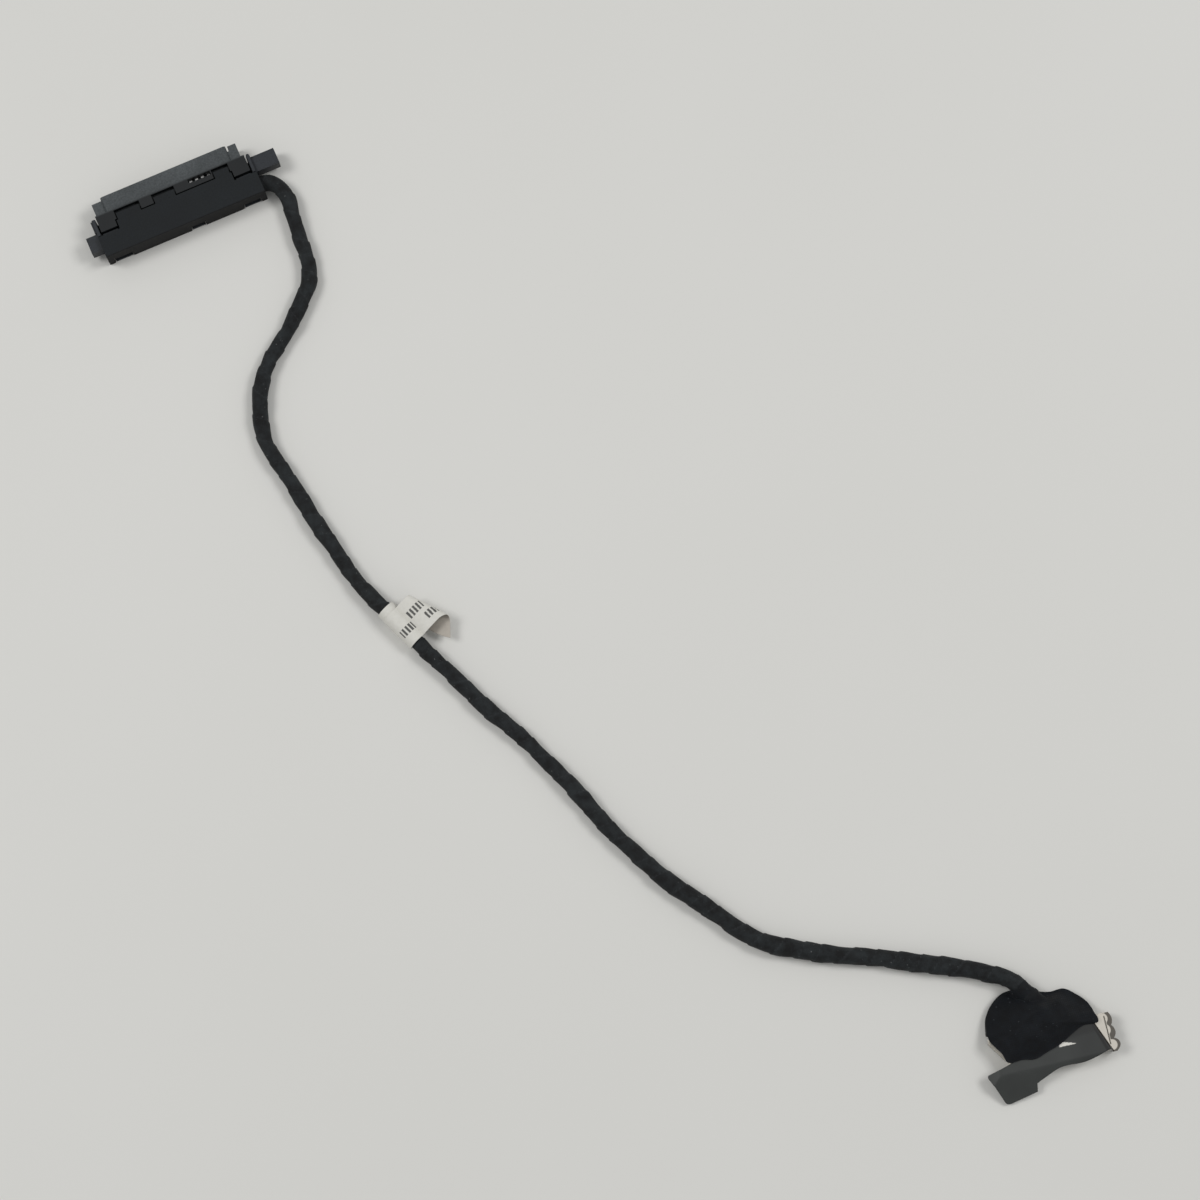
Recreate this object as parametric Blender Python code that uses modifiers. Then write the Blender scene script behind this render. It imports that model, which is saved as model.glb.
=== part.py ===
"""Optical drive adapter cable for a laptop.

A black moulded receptacle for a slim optical drive, its wire housing and snap cover,
a taped cable of 13 wires with a paper label, and a small board connector under a tape pouch.
Metres, +Z up. The origin is at the bottom centre of the drive end, which lies flat:
+X runs along it towards the cable, and +Y points out of its mating nose.
"""

import math

import bmesh
import bpy
from mathutils import Matrix, Vector

MM = 0.001

# Gaps that hold everywhere
CLEARANCE = 0.25 * MM
CONTACT_CLEARANCE = 0.15 * MM
CUT_MARGIN = 1.0 * MM
EDGE_BEVEL = 0.12 * MM

# Cable
CABLE_DIAMETER = 3.4 * MM
CABLE_STEP = 4.9 * MM
CABLE_EXIT_FROM_BACK = 2.85 * MM
CABLE_INSIDE = 2.5 * MM

# Drive end, measured from the body's left end, its back face and the surface below it
BODY_LENGTH = 34.4 * MM
BODY_HEIGHT = 5.4 * MM
TRAY_DEPTH = 8.5 * MM
TRAY_FLOOR = 0.65 * MM
TRAY_WALL = 0.8 * MM
TRAY_FRONT_WALL_HEIGHT = 5.1 * MM
LEFT_PAD = 0.3 * MM
LEFT_PAD_DEPTH = 2.4 * MM
WALL_STEP = 0.12 * MM
EAR_BOTTOM = 1.4 * MM
EAR_HEIGHT = 2.9 * MM
LEFT_EAR_REACH = 2.4 * MM
LEFT_EAR_DEPTH = 3.4 * MM
LEFT_EAR_FROM_BACK = 2.2 * MM
RIGHT_EAR_REACH = 5.0 * MM
RIGHT_EAR_DEPTH = 3.5 * MM
RIGHT_EAR_FROM_BACK = 4.8 * MM
EAR_LIP = 0.5 * MM
NUB_RADIUS = 0.35 * MM

COVER_THICKNESS = 0.7 * MM
COVER_DEPTH = 6.4 * MM
COVER_FOOT_GAP = 0.1 * MM
BACK_NOTCH_HEIGHT = 2.3 * MM
BACK_NOTCHES = ((-16.0 * MM, 4.1 * MM), (0.7 * MM, 3.2 * MM), (12.2 * MM, 3.9 * MM))
TOOTH_REACH = 0.8 * MM
COVER_CORNER = 4.75 * MM
COVER_CORNER_SETBACK = 1.85 * MM
LATCH_GAP = 0.7 * MM
LATCH_BLADE = 0.3 * MM
LATCH_LENGTH = 3.2 * MM
LATCH_DROP = 0.9 * MM
TONGUE_REACH = 1.45 * MM
TONGUE_DROP = 0.1 * MM

FLANGE_DEPTH = 2.15 * MM
REAR_BLOCK_DEPTH = 1.25 * MM
REAR_BLOCK_MARGIN = 1.6 * MM
POCKET_DROP = 1.25 * MM
POCKET_FRONT_WALL = 0.3 * MM
POCKETS = ((-12.3 * MM, 5.45 * MM), (-4.2 * MM, 4.9 * MM), (8.8 * MM, 3.6 * MM))
WINDOW_MARGIN = 0.5 * MM
WINDOW_DEPTH = 0.85 * MM
NOSE_FROM_LEFT_END = 3.4 * MM
NOSE_FROM_RIGHT_END = 3.8 * MM
NOSE_REACH = 3.4 * MM
NOSE_BOTTOM = 0.5 * MM
NOSE_TOP_DROP = 0.4 * MM
NOSE_CORNER = 0.6 * MM
SHOULDER_FROM_LEFT_END = 1.3 * MM
SHOULDER_FROM_RIGHT_END = 1.7 * MM
LEFT_SHOULDER_REACH = 2.85 * MM
RIGHT_SHOULDER_REACH = 3.25 * MM
SHOULDER_NOTCH = 0.35 * MM
SHOULDER_HEIGHT = 3.4 * MM

# Contacts of the drive end
SIGNAL_COUNT = 7
POWER_COUNT = 6
CONTACT_PITCH = 1.27 * MM
GROUP_GAP = 4.28 * MM
GROUPS_OFF_MIDDLE = 0.225 * MM
CONTACT_WIDTH = 0.6 * MM
CONTACT_SHEET = 0.25 * MM
TAIL_TO_WIRE = 0.075 * MM
CONTACT_TAIL = 0.95 * MM
CONTACT_TIP_INSET = 0.7 * MM
CONTACT_DIP = 0.75 * MM
SLOT_DEPTH = 5.2 * MM
SLOT_END_MARGIN = 1.2 * MM
KEY_WIDTH = 1.2 * MM
KEY_MARGIN = 0.75 * MM

# Inner wires, in five lanes that fill up from the left
WIRE_DIAMETER = 0.55 * MM
WIRE_PITCH = 0.62 * MM
WIRES_IN_LANE = (3, 3, 3, 2, 2)
WIRE_BEND = 0.5 * MM

# Label, a strip wrapped round the cable whose free end arches over and down
LABEL_WIDTH = 9.3 * MM
LABEL_THICKNESS = 0.15 * MM
LABEL_FLAG_REACH = 7.0 * MM
LABEL_FLAG_RISE = 1.1 * MM
LABEL_FLAG_DROP = 3.1 * MM
LABEL_POINT = 20

# Board end, in its own frame: X along the connector, Y towards the wires
BOARD_FROM_CABLE_END = (0.2 * MM, -10.7 * MM)
BOARD_TURN = math.radians(-11.0)
BOARD_LENGTH = 20.0 * MM
BOARD_DEPTH = 6.8 * MM
BOARD_HEIGHT = 2.7 * MM
BOARD_COUNT = 13
BOARD_PITCH = 1.25 * MM
BOARD_WINDOW = 0.75 * MM
BOARD_WINDOW_HEIGHT = 1.2 * MM
BOARD_WINDOW_BOTTOM = 0.75 * MM
BOARD_CONTACT_WIDTH = 0.45 * MM
BOARD_CONTACT_SHEET = 0.2 * MM
BOARD_KEY_REACH = 0.5 * MM
BOARD_KEY_LENGTH = 1.6 * MM
BOARD_KEY_INSET = 0.2 * MM
METAL_SHEET = 0.25 * MM
METAL_INSET = 0.2 * MM
METAL_FOOT_GAP = 0.3 * MM
SPRING_BULGES = (0.95 * MM, 0.55 * MM, 0.45 * MM)
SPRING_FROM = -0.45 * MM
SPRING_LENGTH = 2.45 * MM
SPLAY_BACK = 2.6 * MM
SPLAY_FRONT = 0.1 * MM
METAL_EDGE = 0.12 * MM
SLIT_WIDTH = 0.25 * MM
SLIT_FROM_END = 0.2 * MM
SLIT_END_MARGIN = 0.45 * MM
FILM_THICKNESS = 0.2 * MM
FILM_OVERHANG = 0.3 * MM
FILM_END_OVERHANG = 1.8 * MM
FILM_SLOPE = 0.56
POUCH_HEIGHT = 6.6 * MM
POUCH_EDGE_HEIGHT = 0.45 * MM
POUCH_SIDE_HEIGHT = 1.6 * MM
WRAP_THICKNESS = 0.3 * MM
WRAP_LENGTH = 2.4 * MM
WRAP_FROM_END = 1.6 * MM
SOCKET_DEPTH = 3.0 * MM

# Values worked out from the sizes above
CABLE_RADIUS = CABLE_DIAMETER / 2
LEFT = -(BODY_LENGTH + RIGHT_EAR_REACH - LEFT_EAR_REACH) / 2
RIGHT = LEFT + BODY_LENGTH
BODY_MIDDLE = BODY_LENGTH / 2
FLANGE_FROM = COVER_DEPTH + CLEARANCE
FLANGE_FRONT = FLANGE_FROM + FLANGE_DEPTH
REAR_BLOCK_FROM = FLANGE_FROM - REAR_BLOCK_DEPTH
NOSE_FRONT = FLANGE_FRONT + NOSE_REACH
BACK = -NOSE_FRONT / 2
TRAY_FROM = COVER_THICKNESS + CLEARANCE
COVER_UNDERSIDE = BODY_HEIGHT - COVER_THICKNESS
TRAY_TOP = COVER_UNDERSIDE - CLEARANCE
CABLE_EXIT_HEIGHT = (TRAY_FLOOR + COVER_UNDERSIDE) / 2
WIRE_PASS_HEIGHT = COVER_UNDERSIDE - CLEARANCE - WIRE_DIAMETER / 2
CONTACT_HEIGHT = WIRE_PASS_HEIGHT - WIRE_DIAMETER / 2 - TAIL_TO_WIRE - CONTACT_SHEET / 2
COVER_CORNER_FROM = COVER_DEPTH - COVER_CORNER_SETBACK
LATCH_FROM = COVER_CORNER_FROM + (LATCH_GAP - LATCH_BLADE) / 2
WING_FROM = COVER_CORNER_FROM + LATCH_GAP
NOSE_HEIGHT = BODY_HEIGHT - NOSE_TOP_DROP - NOSE_BOTTOM
NOSE_FROM = NOSE_FROM_LEFT_END
NOSE_TO = BODY_LENGTH - NOSE_FROM_RIGHT_END
SLOT_HEIGHT = 0.4 * NOSE_HEIGHT
KEY_DROP = NOSE_HEIGHT / 6
FLANGE_BOTTOM = TRAY_FLOOR + CLEARANCE
CHANNEL_TOP = CONTACT_HEIGHT + CONTACT_SHEET / 2 + CONTACT_CLEARANCE
CHANNEL_BOTTOM = CONTACT_HEIGHT - CONTACT_SHEET / 2 - CONTACT_CLEARANCE
SLOT_TOP = CHANNEL_BOTTOM + 0.05 * MM
SLOT_BOTTOM = SLOT_TOP - SLOT_HEIGHT
SLOT_FROM = NOSE_FRONT - SLOT_DEPTH
METAL_TOP = BOARD_HEIGHT + CLEARANCE + METAL_SHEET
FILM_BOTTOM = METAL_TOP + CLEARANCE
POUCH_UNDERSIDE = FILM_BOTTOM + FILM_THICKNESS + CLEARANCE

# The cable's route, chosen by hand, in millimetres. It was drawn with its second point,
# the way out of the body, at ROUTE_EXIT, and lies on the surface from its seventh point.
ROUTE_EXIT = (15.9, -3.25)
ROUTE_LYING = 6
CABLE_ROUTE = (
    (13.4, -3.25, 2.675),
    (15.3, -3.25, 2.675),
    (17.3, -3.95, 2.58),
    (19.0, -5.8, 2.35),
    (19.6, -8.7, 2.08),
    (19.1, -12.8, 1.81),
    (18.5, -17.5, 1.7),
    (18.1, -22.0, 1.7),
    (16.6, -26.2, 1.7),
    (12.9, -30.0, 1.7),
    (8.4, -33.8, 1.7),
    (3.4, -37.7, 1.7),
    (-0.6, -42.4, 1.7),
    (-3.0, -47.8, 1.7),
    (-3.8, -53.4, 1.7),
    (-2.9, -60.0, 1.7),
    (-1.6, -68.0, 1.7),
    (-0.3, -76.0, 1.7),
    (1.3, -84.2, 1.8),
    (3.8, -92.0, 2.15),
    (6.6, -98.4, 2.3),
    (9.0, -105.0, 2.1),
    (12.2, -112.6, 1.75),
    (16.0, -121.3, 1.7),
    (19.9, -129.4, 1.7),
    (23.2, -137.6, 1.7),
    (26.0, -146.0, 1.7),
    (28.9, -154.2, 1.7),
    (32.8, -162.8, 1.7),
    (37.6, -170.9, 1.7),
    (42.6, -178.8, 1.7),
    (46.8, -183.9, 1.7),
    (52.6, -187.9, 1.7),
    (59.8, -192.1, 1.7),
    (67.4, -196.3, 1.7),
    (75.0, -200.8, 1.7),
    (81.6, -205.0, 1.85),
    (86.6, -208.7, 2.3),
    (89.9, -212.7, 2.6),
)

# The pouch's outline round the connector, in millimetres from its centre,
# with 1 where the tape lies over the connector and 0 where it comes down to the surface
POUCH_OUTLINE = (
    (-7.4, 11.4, 0),
    (-10.2, 9.9, 0),
    (-12.2, 7.4, 0),
    (-12.7, 4.6, 0.5),
    (-12.1, 1.2, 1),
    (-10.4, -1.9, 1),
    (-7.6, -1.9, 1),
    (-5.2, -2.3, 1),
    (-2.6, -1.5, 1),
    (0.2, -0.6, 1),
    (3.0, 0.9, 1),
    (5.4, 1.9, 1),
    (7.9, 1.8, 1),
    (9.1, 3.6, 0.7),
    (8.9, 4.5, 0.2),
    (7.5, 6.5, 0),
    (3.9, 9.5, 0),
    (0.4, 9.8, 0),
    (-3.5, 10.8, 0),
)
POUCH_CENTRE = (-2.5, 4.2)

# The pull tab's two long edges, from its right end to its free end, in millimetres
TAB_UPPER_EDGE = (
    (7.2, 2.1), (4.4, 2.2), (-0.5, 0.4), (-5.8, -0.9), (-10.2, -2.2), (-10.5, -2.3), (-14.9, -3.5)
)
TAB_LOWER_EDGE = (
    (9.5, -3.6), (4.3, -4.8), (-0.5, -4.8), (-4.2, -6.1), (-5.8, -6.8), (-6.1, -8.4), (-12.3, -9.6)
)

part_collection = bpy.data.collections.new("optical_drive_adapter_cable")
cutter_collection = bpy.data.collections.new("cutters")


def clear_scene():
    for old in list(bpy.data.objects):
        bpy.data.objects.remove(old)
    bpy.context.scene.collection.children.link(part_collection)
    bpy.context.scene.collection.children.link(cutter_collection)


def show(obj, colour, roughness, metallic=0.0, smooth=False):
    """Gives a finished piece its own material and puts it with the parts."""
    material = bpy.data.materials.new(obj.name)
    material.use_nodes = True
    shader = material.node_tree.nodes["Principled BSDF"]
    shader.inputs["Base Color"].default_value = (*colour, 1.0)
    shader.inputs["Roughness"].default_value = roughness
    shader.inputs["Metallic"].default_value = metallic
    obj.data.materials.clear()
    obj.data.materials.append(material)
    if smooth and obj.type == "MESH":
        obj.data.shade_smooth()
    part_collection.objects.link(obj)
    return obj


def hide(obj):
    """Keeps a cutter out of the render."""
    obj.hide_render = True
    obj.display_type = "WIRE"
    cutter_collection.objects.link(obj)
    return obj


def box(name, low, high):
    """A block between two corners, with its origin at its middle."""
    mesh = bpy.data.meshes.new(name)
    shape = bmesh.new()
    bmesh.ops.create_cube(shape, size=1.0)
    size = [b - a for a, b in zip(low, high)]
    bmesh.ops.scale(shape, vec=size, verts=shape.verts)
    shape.to_mesh(mesh)
    shape.free()
    obj = bpy.data.objects.new(name, mesh)
    obj.location = [(a + b) / 2 for a, b in zip(low, high)]
    return obj


def body_box(name, low, high):
    """A block of the drive end: corners from the body's left end, back face and underside."""
    corner = (LEFT, BACK, 0.0)
    return box(name, [a + b for a, b in zip(corner, low)], [a + b for a, b in zip(corner, high)])


def cylinder(name, radius, length, centre, axis, sides=24):
    """A cylinder about a point, along any axis."""
    mesh = bpy.data.meshes.new(name)
    shape = bmesh.new()
    bmesh.ops.create_cone(
        shape, cap_ends=True, segments=sides, radius1=radius, radius2=radius, depth=length
    )
    shape.to_mesh(mesh)
    shape.free()
    obj = bpy.data.objects.new(name, mesh)
    obj.matrix_world = Matrix.Translation(centre) @ Vector(axis).to_track_quat("Z", "Y").to_matrix().to_4x4()
    return obj


def outline(name, points, half_thickness, place):
    """A closed flat outline given thickness, then made one mesh with its caps welded."""
    curve = bpy.data.curves.new(name, "CURVE")
    curve.dimensions = "2D"
    curve.fill_mode = "BOTH"
    curve.extrude = half_thickness
    spline = curve.splines.new("POLY")
    spline.points.add(len(points) - 1)
    for point, (x, y) in zip(spline.points, points):
        point.co = (x, y, 0.0, 1.0)
    spline.use_cyclic_u = True
    drawn = bpy.data.objects.new(name + "_outline", curve)
    cutter_collection.objects.link(drawn)
    drawn.matrix_world = place
    bpy.context.view_layer.update()
    graph = bpy.context.evaluated_depsgraph_get()
    mesh = bpy.data.meshes.new_from_object(drawn.evaluated_get(graph))
    shape = bmesh.new()
    shape.from_mesh(mesh)
    bmesh.ops.remove_doubles(shape, verts=shape.verts, dist=0.001 * MM)
    bmesh.ops.recalc_face_normals(shape, faces=shape.faces)
    shape.to_mesh(mesh)
    shape.free()
    mesh.name = name
    obj = bpy.data.objects.new(name, mesh)
    obj.matrix_world = drawn.matrix_world.copy()
    bpy.data.objects.remove(drawn)
    return obj


def plan(name, points, bottom, top):
    """A plan of the drive end, from the body's left end and back face, given height."""
    place = Matrix.Translation((LEFT, BACK, (bottom + top) / 2))
    return outline(name, points, (top - bottom) / 2, place)


def boolean(obj, operation, others):
    """Joins or cuts a piece with hidden helpers."""
    for other in others:
        hide(other)
        modifier = obj.modifiers.new(other.name, "BOOLEAN")
        modifier.operation = operation
        modifier.object = other
        modifier.solver = "EXACT"


def bevel(obj, width, segments=2):
    """Welds what the joins left a hair apart, then rounds the edges."""
    weld = obj.modifiers.new("weld", "WELD")
    weld.merge_threshold = 0.004 * MM
    modifier = obj.modifiers.new("rounded edges", "BEVEL")
    modifier.width = width
    modifier.segments = segments
    modifier.limit_method = "ANGLE"
    modifier.angle_limit = math.radians(50)
    modifier.use_clamp_overlap = True
    modifier.harden_normals = False


def rounded_rectangle(low, high, radius, steps=4):
    """Corner points of a rectangle whose corners are quarter circles."""
    points = []
    corners = (
        (high[0] - radius, high[1] - radius, 0),
        (low[0] + radius, high[1] - radius, 90),
        (low[0] + radius, low[1] + radius, 180),
        (high[0] - radius, low[1] + radius, 270),
    )
    for x, y, start in corners:
        for step in range(steps + 1):
            angle = math.radians(start + 90 * step / steps)
            points.append((x + radius * math.cos(angle), y + radius * math.sin(angle)))
    return points


def ribbon(path, thickness):
    """The outline of a bent strip: the path moved half a thickness to each side."""
    path = [Vector(point) for point in path]
    upper, lower = [], []
    for index, point in enumerate(path):
        before = (point - path[index - 1]).normalized() if index else None
        after = (path[index + 1] - point).normalized() if index + 1 < len(path) else None
        along = ((before or after) + (after or before)).normalized()
        across = Vector((-along.y, along.x))
        reach = thickness / 2 / max(0.5, along.dot(after or before))
        upper.append(point + across * reach)
        lower.append(point - across * reach)
    return [tuple(point) for point in upper + lower[::-1]]


# Turns an outline drawn in X and Y so that X runs along world Y, Y along Z, and its thickness along X
ON_SIDE = Matrix(((0, 0, 1, 0), (1, 0, 0, 0), (0, 1, 0, 0), (0, 0, 0, 1)))
# Turns an outline so that X stays, Y runs along Z, and its thickness along Y
ON_FRONT = Matrix(((1, 0, 0, 0), (0, 0, -1, 0), (0, 1, 0, 0), (0, 0, 0, 1)))


def contact_places():
    """Each contact's distance from the body's left end, signal group first."""
    span = (SIGNAL_COUNT + POWER_COUNT - 2) * CONTACT_PITCH + GROUP_GAP
    first = BODY_MIDDLE + GROUPS_OFF_MIDDLE - span / 2
    signal = [first + CONTACT_PITCH * n for n in range(SIGNAL_COUNT)]
    first_power = signal[-1] + GROUP_GAP
    power = [first_power + CONTACT_PITCH * n for n in range(POWER_COUNT)]
    return signal, power


def make_receptacle():
    """The insulator: flange between the tray's walls, nose in front, a short block behind."""
    signal, power = contact_places()
    low, high = TRAY_WALL + CLEARANCE, BODY_LENGTH - TRAY_WALL - CLEARANCE
    wing = COVER_CORNER - CLEARANCE
    flange_plan = (
        (low, WING_FROM),
        (wing, WING_FROM),
        (wing, FLANGE_FROM),
        (BODY_LENGTH - wing, FLANGE_FROM),
        (BODY_LENGTH - wing, WING_FROM),
        (high, WING_FROM),
        (high, FLANGE_FRONT),
        (low, FLANGE_FRONT),
    )
    body = plan("receptacle", flange_plan, FLANGE_BOTTOM, BODY_HEIGHT)
    block = body_box(
        "receptacle_rear_block",
        (signal[0] - REAR_BLOCK_MARGIN, REAR_BLOCK_FROM, FLANGE_BOTTOM + CLEARANCE),
        (power[-1] + REAR_BLOCK_MARGIN, FLANGE_FROM + CLEARANCE, TRAY_TOP),
    )
    nose_low, nose_high = (NOSE_FROM, NOSE_BOTTOM), (NOSE_TO, NOSE_BOTTOM + NOSE_HEIGHT)
    nose_root = FLANGE_FRONT - CLEARANCE
    nose = outline(
        "receptacle_nose",
        rounded_rectangle(nose_low, nose_high, NOSE_CORNER),
        (NOSE_FRONT - nose_root) / 2,
        Matrix.Translation((LEFT, BACK + (NOSE_FRONT + nose_root) / 2, 0)) @ ON_FRONT,
    )
    shoulder_bottom = NOSE_BOTTOM + (NOSE_HEIGHT - SHOULDER_HEIGHT) / 2
    shoulder_from, shoulder_to = SHOULDER_FROM_LEFT_END, BODY_LENGTH - SHOULDER_FROM_RIGHT_END
    left_front, right_front = FLANGE_FRONT + LEFT_SHOULDER_REACH, FLANGE_FRONT + RIGHT_SHOULDER_REACH
    notch_root = right_front - 3 * SHOULDER_NOTCH
    shoulder_plan = (
        (shoulder_from, nose_root),
        (shoulder_to, nose_root),
        (shoulder_to, right_front),
        (NOSE_TO + SHOULDER_NOTCH, right_front),
        (NOSE_TO + SHOULDER_NOTCH, notch_root),
        (NOSE_TO - NOSE_CORNER, notch_root),
        (NOSE_TO - NOSE_CORNER, left_front - NOSE_CORNER),
        (NOSE_FROM + NOSE_CORNER, left_front - NOSE_CORNER),
        (NOSE_FROM + NOSE_CORNER, left_front),
        (shoulder_from, left_front),
    )
    shoulder = plan("receptacle_shoulders", shoulder_plan, shoulder_bottom, shoulder_bottom + SHOULDER_HEIGHT)
    boolean(body, "UNION", [block, shoulder, nose])
    bevel(body, EDGE_BEVEL)
    cutters = []
    for name, group in (("signal", signal), ("power", power)):
        key_left = group[0] - KEY_MARGIN - KEY_WIDTH
        right = group[-1] + SLOT_END_MARGIN
        key_bottom = SLOT_BOTTOM - KEY_DROP
        slot_points = (
            (key_left, key_bottom),
            (key_left + KEY_WIDTH, key_bottom),
            (key_left + KEY_WIDTH, SLOT_BOTTOM),
            (right, SLOT_BOTTOM),
            (right, SLOT_TOP),
            (key_left, SLOT_TOP),
        )
        cutters.append(
            outline(
                name + "_slot",
                slot_points,
                (SLOT_DEPTH + CUT_MARGIN) / 2,
                Matrix.Translation((LEFT, BACK + SLOT_FROM + (SLOT_DEPTH + CUT_MARGIN) / 2, 0)) @ ON_FRONT,
            )
        )
    for number, place in enumerate(signal + power):
        half = CONTACT_WIDTH / 2 + CONTACT_CLEARANCE
        cutters.append(
            body_box(
                f"channel_{number + 1}",
                (place - half, REAR_BLOCK_FROM - CUT_MARGIN, CHANNEL_BOTTOM),
                (place + half, NOSE_FRONT - CONTACT_TIP_INSET + CONTACT_CLEARANCE, CHANNEL_TOP),
            )
        )
    pocket_floor = BODY_HEIGHT - POCKET_DROP
    pocket_front = FLANGE_FRONT - POCKET_FRONT_WALL
    for number, (start, length) in enumerate(POCKETS):
        cutters.append(
            body_box(
                f"pocket_{number + 1}",
                (BODY_MIDDLE + start, FLANGE_FROM - CUT_MARGIN, pocket_floor),
                (BODY_MIDDLE + start + length, pocket_front, BODY_HEIGHT + CUT_MARGIN),
            )
        )
    cutters.append(
        body_box(
            "contact_window",
            (power[1] - WINDOW_MARGIN, pocket_front - WINDOW_DEPTH, CHANNEL_BOTTOM - CONTACT_CLEARANCE),
            (power[4] + WINDOW_MARGIN, pocket_front, BODY_HEIGHT + CUT_MARGIN),
        )
    )
    boolean(body, "DIFFERENCE", cutters)
    show(body, (0.062, 0.065, 0.068), 0.5)


def make_contacts():
    """Thirteen bent strips: a tail for the wire, a straight shank and a sprung dip in the slot."""
    signal, power = contact_places()
    tip = NOSE_FRONT - CONTACT_TIP_INSET
    path = (
        (REAR_BLOCK_FROM - CONTACT_TAIL, CONTACT_HEIGHT),
        (SLOT_FROM + 0.2 * SLOT_DEPTH, CONTACT_HEIGHT),
        (SLOT_FROM + 0.6 * SLOT_DEPTH, CONTACT_HEIGHT - 0.7 * CONTACT_DIP),
        (tip - 0.17 * SLOT_DEPTH, CONTACT_HEIGHT - CONTACT_DIP),
        (tip - 0.11 * SLOT_DEPTH, CONTACT_HEIGHT - 0.9 * CONTACT_DIP),
        (tip, CONTACT_HEIGHT - 0.1 * CONTACT_DIP),
    )
    strip = ribbon(path, CONTACT_SHEET)
    mesh = None
    for group, places in (("signal", signal), ("power", power)):
        for number, place in enumerate(places):
            name = f"{group}_contact_{number + 1}"
            where = Matrix.Translation((LEFT + place, BACK, 0)) @ ON_SIDE
            if mesh is None:
                contact = outline(name, strip, CONTACT_WIDTH / 2, where)
                mesh = contact.data
            else:
                contact = bpy.data.objects.new(name, mesh.copy())
                contact.matrix_world = where
            show(contact, (0.8, 0.72, 0.5), 0.25, 1.0)


def make_wire_housing():
    """The tray under the wires: floor and end walls, ears, latch blades and back teeth."""
    right_inner = BODY_LENGTH - TRAY_WALL
    section = (
        (0, 0),
        (BODY_LENGTH, 0),
        (BODY_LENGTH, TRAY_TOP),
        (right_inner, TRAY_TOP),
        (right_inner, TRAY_FLOOR),
        (TRAY_WALL, TRAY_FLOOR),
        (TRAY_WALL, TRAY_TOP),
        (0, TRAY_TOP),
    )
    depth = TRAY_DEPTH - TRAY_FROM
    middle = Matrix.Translation((LEFT, BACK + TRAY_FROM + depth / 2, 0)) @ ON_FRONT
    tray = outline("wire_housing", section, depth / 2, middle)
    joined = []
    for name, start in (("left", 0), ("right", right_inner)):
        joined.append(
            body_box(
                name + "_front_wall",
                (start + WALL_STEP, COVER_CORNER_FROM + CLEARANCE, TRAY_TOP / 2),
                (start + TRAY_WALL - WALL_STEP, TRAY_DEPTH - WALL_STEP, TRAY_FRONT_WALL_HEIGHT),
            )
        )
    pad_front = TRAY_DEPTH - WALL_STEP
    joined.append(
        body_box(
            "left_pad",
            (-LEFT_PAD, pad_front - LEFT_PAD_DEPTH, WALL_STEP),
            (TRAY_WALL / 2, pad_front, TRAY_TOP - 2 * WALL_STEP),
        )
    )
    ear_top = EAR_BOTTOM + EAR_HEIGHT
    joined.append(
        body_box(
            "left_ear",
            (-LEFT_EAR_REACH, LEFT_EAR_FROM_BACK, EAR_BOTTOM),
            (TRAY_WALL / 2, LEFT_EAR_FROM_BACK + LEFT_EAR_DEPTH, ear_top),
        )
    )
    ear_front = RIGHT_EAR_FROM_BACK + RIGHT_EAR_DEPTH
    ear_section = (
        (RIGHT_EAR_FROM_BACK, EAR_BOTTOM),
        (ear_front, EAR_BOTTOM),
        (ear_front, ear_top - EAR_LIP),
        (ear_front - EAR_LIP, ear_top - EAR_LIP),
        (ear_front - EAR_LIP, ear_top),
        (RIGHT_EAR_FROM_BACK, ear_top),
    )
    ear_length = RIGHT_EAR_REACH + TRAY_WALL / 2
    ear_middle = RIGHT + RIGHT_EAR_REACH - ear_length / 2
    joined.append(
        outline("right_ear", ear_section, ear_length / 2, Matrix.Translation((ear_middle, BACK, 0)) @ ON_SIDE)
    )
    nub_top = TRAY_FRONT_WALL_HEIGHT - 2 * WALL_STEP
    nub_bottom = EAR_BOTTOM + 2 * WALL_STEP
    joined.append(
        cylinder(
            "wall_nub",
            NUB_RADIUS,
            nub_top - nub_bottom,
            (RIGHT - TRAY_WALL / 2, BACK + TRAY_DEPTH, (nub_top + nub_bottom) / 2),
            (0, 0, 1),
            12,
        )
    )
    for number, centre in enumerate(latch_places()):
        joined.append(
            body_box(
                f"latch_blade_{number + 1}",
                (centre - LATCH_LENGTH / 2, LATCH_FROM, TRAY_FLOOR / 2),
                (centre + LATCH_LENGTH / 2, LATCH_FROM + LATCH_BLADE, BODY_HEIGHT - LATCH_DROP),
            )
        )
    for number, (start, length) in enumerate(BACK_NOTCHES):
        joined.append(
            body_box(
                f"back_tooth_{number + 1}",
                (BODY_MIDDLE + start + CLEARANCE, TRAY_FROM - TOOTH_REACH, WALL_STEP),
                (BODY_MIDDLE + start + length - CLEARANCE, TRAY_FROM + CLEARANCE, TRAY_FLOOR - WALL_STEP),
            )
        )
    boolean(tray, "UNION", joined)
    radius = CABLE_RADIUS + CLEARANCE
    way_in = [
        (
            CABLE_EXIT_FROM_BACK + radius * math.cos(math.radians(180 + 15 * step)),
            CABLE_EXIT_HEIGHT + radius * math.sin(math.radians(180 + 15 * step)),
        )
        for step in range(13)
    ]
    way_in.append((CABLE_EXIT_FROM_BACK + radius, BODY_HEIGHT))
    way_in.append((CABLE_EXIT_FROM_BACK - radius, BODY_HEIGHT))
    exit_middle = Matrix.Translation((RIGHT - TRAY_WALL / 2, BACK, 0)) @ ON_SIDE
    boolean(tray, "DIFFERENCE", [outline("cable_way_in", way_in, TRAY_WALL, exit_middle)])
    bevel(tray, EDGE_BEVEL)
    show(tray, (0.03, 0.034, 0.04), 0.45)


def latch_places():
    """Middles of the two latch blades, from the body's left end."""
    inset = (TRAY_WALL + COVER_CORNER) / 2
    return (inset, BODY_LENGTH - inset)


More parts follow.
